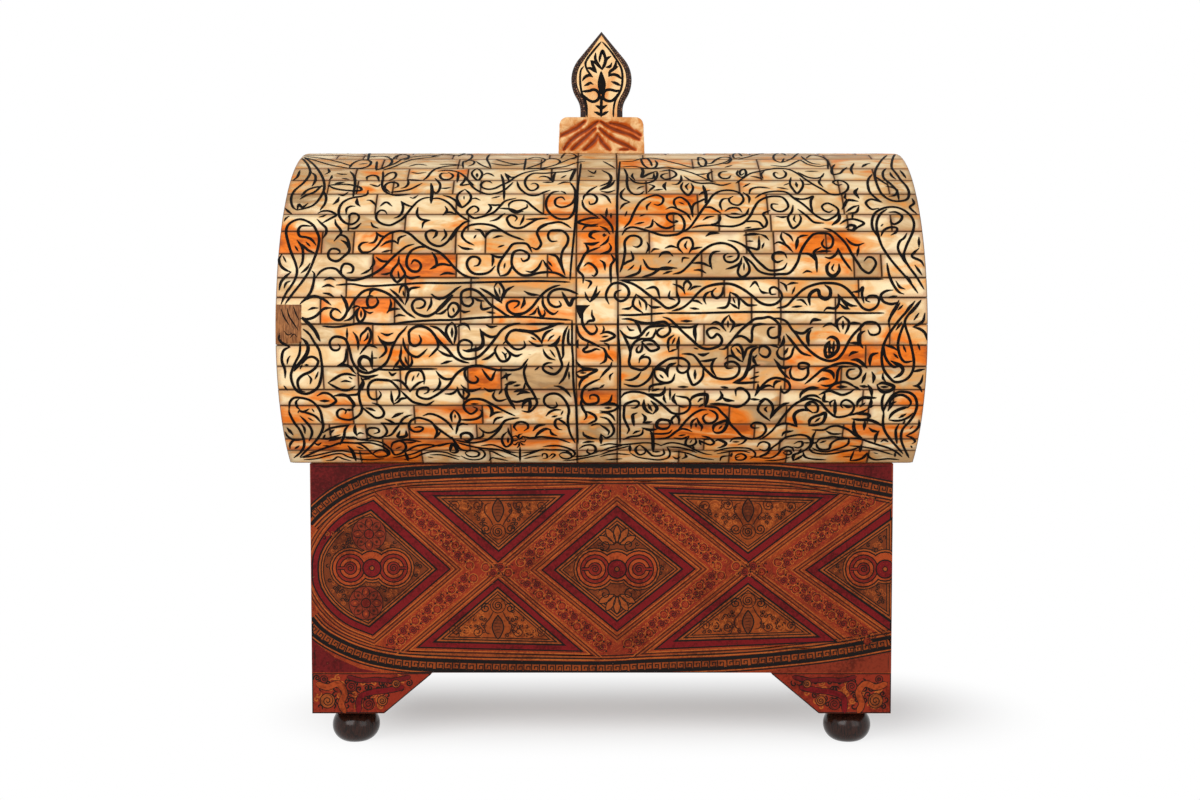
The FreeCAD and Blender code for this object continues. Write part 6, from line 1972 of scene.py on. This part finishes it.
def leafRing(node, across):  # the outline of a flat piece at one depth, in order round its middle
    corners = [v.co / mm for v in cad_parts[node].data.vertices]
    spots = {(round(p.x, 3), round(p.z, 3)) for p in corners if across - 0.3 < p.y < across}
    rises = [rise for along, rise in spots]
    middle = Vector((0, (min(rises) + max(rises)) / 2))
    order = sorted(spots, key=lambda p: math.atan2(middle.x - p[0], middle.y - p[1]) % (2 * math.pi))
    return middle, [Vector(p) for p in order]


def edgeGap(spot, ring):
    gaps = []
    for p, q in ringOf(ring):
        share = held((spot - p).dot(q - p) / (q - p).length_squared, 0, 1)
        gaps.append((spot - p.lerp(q, share)).length)
    return min(gaps)


leafMiddle, leafRim = leafRing("finial_face_front", leaf["inner"])
leafLow, leafTop = min(p.y for p in leafRim), max(p.y for p in leafRim)
leafEdge = [p for p in leafRim if p.y > leafLow + 0.4]


def holdLeaf(p):  # keeps a line on the bone face
    rise = held(p[1], leafLow + 0.3, leafTop - 2 * leaf["margin"])
    reach = [
        abs(a.x + (b.x - a.x) * (rise - a.y) / (b.y - a.y))
        for a, b in ringOf(leafRim) if min(a.y, b.y) <= rise < max(a.y, b.y)
    ]
    half = max(reach) - leaf["margin"]
    return held(p[0], -half, half), rise


leafArt = Drawing("leaf")
for number, points in enumerate(leafLines):
    path = [holdLeaf(p) for p in smoothPath(onSheet(points, *leaf["sheet"]), 0.5)]
    leafArt.stroke(path, leaf["thin" if number < leaf["stems"] else "line"], ink, 0.0, (0.45, 0.45), 0.3)
spindlePath = smoothPath(onSheet(spindleEdge + spindleEdge[:2], *leaf["sheet"]), 0.6)
leafArt.fill(spindlePath[:-1], ink)
leafArt.stroke(spindlePath, 1.0, ink, 0.0, blunt)


def layOnLeaf(side):
    return lambda a, b, level: Vector((-side * a, side * (leaf["face"] + level), b)) * mm


leafArt.lay("leafDrawingFront", layOnLeaf(-1), "ink", "lid")
leafArt.lay("leafDrawingBack", layOnLeaf(1), "ink", "lid")


def leafBeads():  # two rows of small studs along the dark rim
    edge = leafRing("finial_bud", leaf["outer"])[1]
    high = max(p.y for p in edge)
    points, faces = [], []
    for share, pitch in leaf["rows"]:
        run = 0.0
        for p, q in zip(leafEdge, leafEdge[1:]):
            step = (q - p).length
            out = Vector((p.y - q.y, q.x - p.x)).normalized()
            if out.dot(p - leafMiddle) < 0:
                out = -out
            while run < step:
                spot = p.lerp(q, run / step)
                wide = edgeGap(spot, edge)
                spot += out * wide * share
                run += pitch
                if leafLow + leaf["foot"] < spot.y < high - leaf["tip"]:
                    rise = min(leaf["flat"], leaf["bevel"] + edgeGap(spot, edge)) + leaf["proud"]
                    for face in (-1, 1):
                        addBead(points, faces, Vector((spot.x, face * rise, spot.y)), leaf["bead"] * min(1, wide / 3))
            run -= step
    piece("leafBeads", points, faces, "bead", "lid")


def addBead(points, faces, middle, radius):
    first, sides, rings = len(points), 8, 4
    points.append((middle - Vector((0, 0, radius))) * mm)
    for i in range(1, rings):
        tilt = math.pi * i / rings
        for a, b in circle(0, 0, math.sin(tilt), sides):
            points.append((middle + Vector((a, b, -math.cos(tilt))) * radius) * mm)
    points.append((middle + Vector((0, 0, radius))) * mm)
    last = len(points) - 1
    for k in range(sides):
        n = (k + 1) % sides
        faces.append((first, first + 1 + n, first + 1 + k))
        faces.append((last, last - sides + k, last - sides + n))
        for i in range(rings - 2):
            a = first + 1 + i * sides
            faces.append((a + k, a + n, a + sides + n, a + sides + k))


leafBeads()
print("finial carved")


# Stage, light and camera

light = {
    "key": (-0.85, -1.55, 1.05), "keySize": 1.3, "keyPower": 25.5,
    "fill": (1.2, -1.5, 0.7), "fillSize": 1.2, "fillPower": 8.0, "aim": (0, 0, 0.2), "sky": 0.34,
}


def areaLamp(name, kind):
    lamp = bpy.data.lights.new(name, "AREA")
    lamp.shape = "SQUARE"
    lamp.size = light[kind + "Size"]
    lamp.energy = light[kind + "Power"]
    item = bpy.data.objects.new(name, lamp)
    item.location = light[kind]
    item.rotation_euler = (Vector(light["aim"]) - Vector(light[kind])).to_track_quat("-Z", "Y").to_euler()
    bpy.context.collection.objects.link(item)


areaLamp("keyLamp", "key")
areaLamp("fillLamp", "fill")
stage = {"half": 6, "pool": (30, 140, 20), "reach": 120, "shade": 0.42}  # with the soft pool under the chest


def floorFinish():
    f = Finish("paleFloor")
    here = f.place()
    f.set(Base_Color=f.mix(tint(250, 250, 250), tint(244, 244, 243), f.grain(here, 0.004, 3)), Roughness=0.9)
    flat = f.node("ShaderNodeSeparateXYZ", None, {0: here})
    across, half, back = stage["pool"]
    wide = (abs(flat - across) - half).most(0.0)
    deep = flat.part("Y") - back
    reach = (wide * wide + deep * deep) ** 0.5
    seen = f.node("ShaderNodeLightPath", out="Is Camera Ray")
    seen = seen.most(seen.part("Is Glossy Ray"))
    white = f.node("ShaderNodeEmission", None, {"Color": (1, 1, 1, 1), "Strength": 1.0})
    share = seen * f.step(reach, 0, stage["reach"], stage["shade"], 1.0)
    blend = f.node("ShaderNodeMixShader", None, {0: share, 1: Wire(f.tree, f.shader.outputs[0]), 2: white})
    f.tree.links.new(blend.socket, f.tree.nodes["Material Output"].inputs["Surface"])
    return f.material


half = stage["half"]
floorMesh = bpy.data.meshes.new("floor")
floorMesh.from_pydata([(-half, -half, 0), (half, -half, 0), (half, half, 0), (-half, half, 0)], [], [(0, 1, 2, 3)])
floorMesh.materials.append(floorFinish())
floor = bpy.data.objects.new("floor", floorMesh)
bpy.context.collection.objects.link(floor)

sky = bpy.context.scene.world or bpy.data.worlds.new("studio")
bpy.context.scene.world = sky
sky.use_nodes = True
skyTree = sky.node_tree
skyTree.nodes.clear()
white = Wire(skyTree, skyTree.nodes.new("ShaderNodeLightPath").outputs["Is Camera Ray"])
white = white.most(white.part("Is Glossy Ray")).most(white.part("Is Transmission Ray"))
backdrop = skyTree.nodes.new("ShaderNodeBackground")
backdrop.inputs["Color"].default_value = (1, 1, 1, 1)
connect(skyTree, backdrop.inputs["Strength"], white * (1 - light["sky"]) + light["sky"])
skyTree.links.new(backdrop.outputs[0], skyTree.nodes.new("ShaderNodeOutputWorld").inputs[0])

lens = bpy.data.cameras.new("camera")
lens.lens = view["lens"]
lens.sensor_width = view["sensor"]
camera = bpy.data.objects.new("camera", lens)
camera.location = Vector(view["place"]) * mm
camera.rotation_euler = (math.radians(90 - view["tilt"]), 0, 0)
bpy.context.collection.objects.link(camera)
bpy.context.scene.camera = camera
bpy.context.scene.view_settings.view_transform = "Standard"
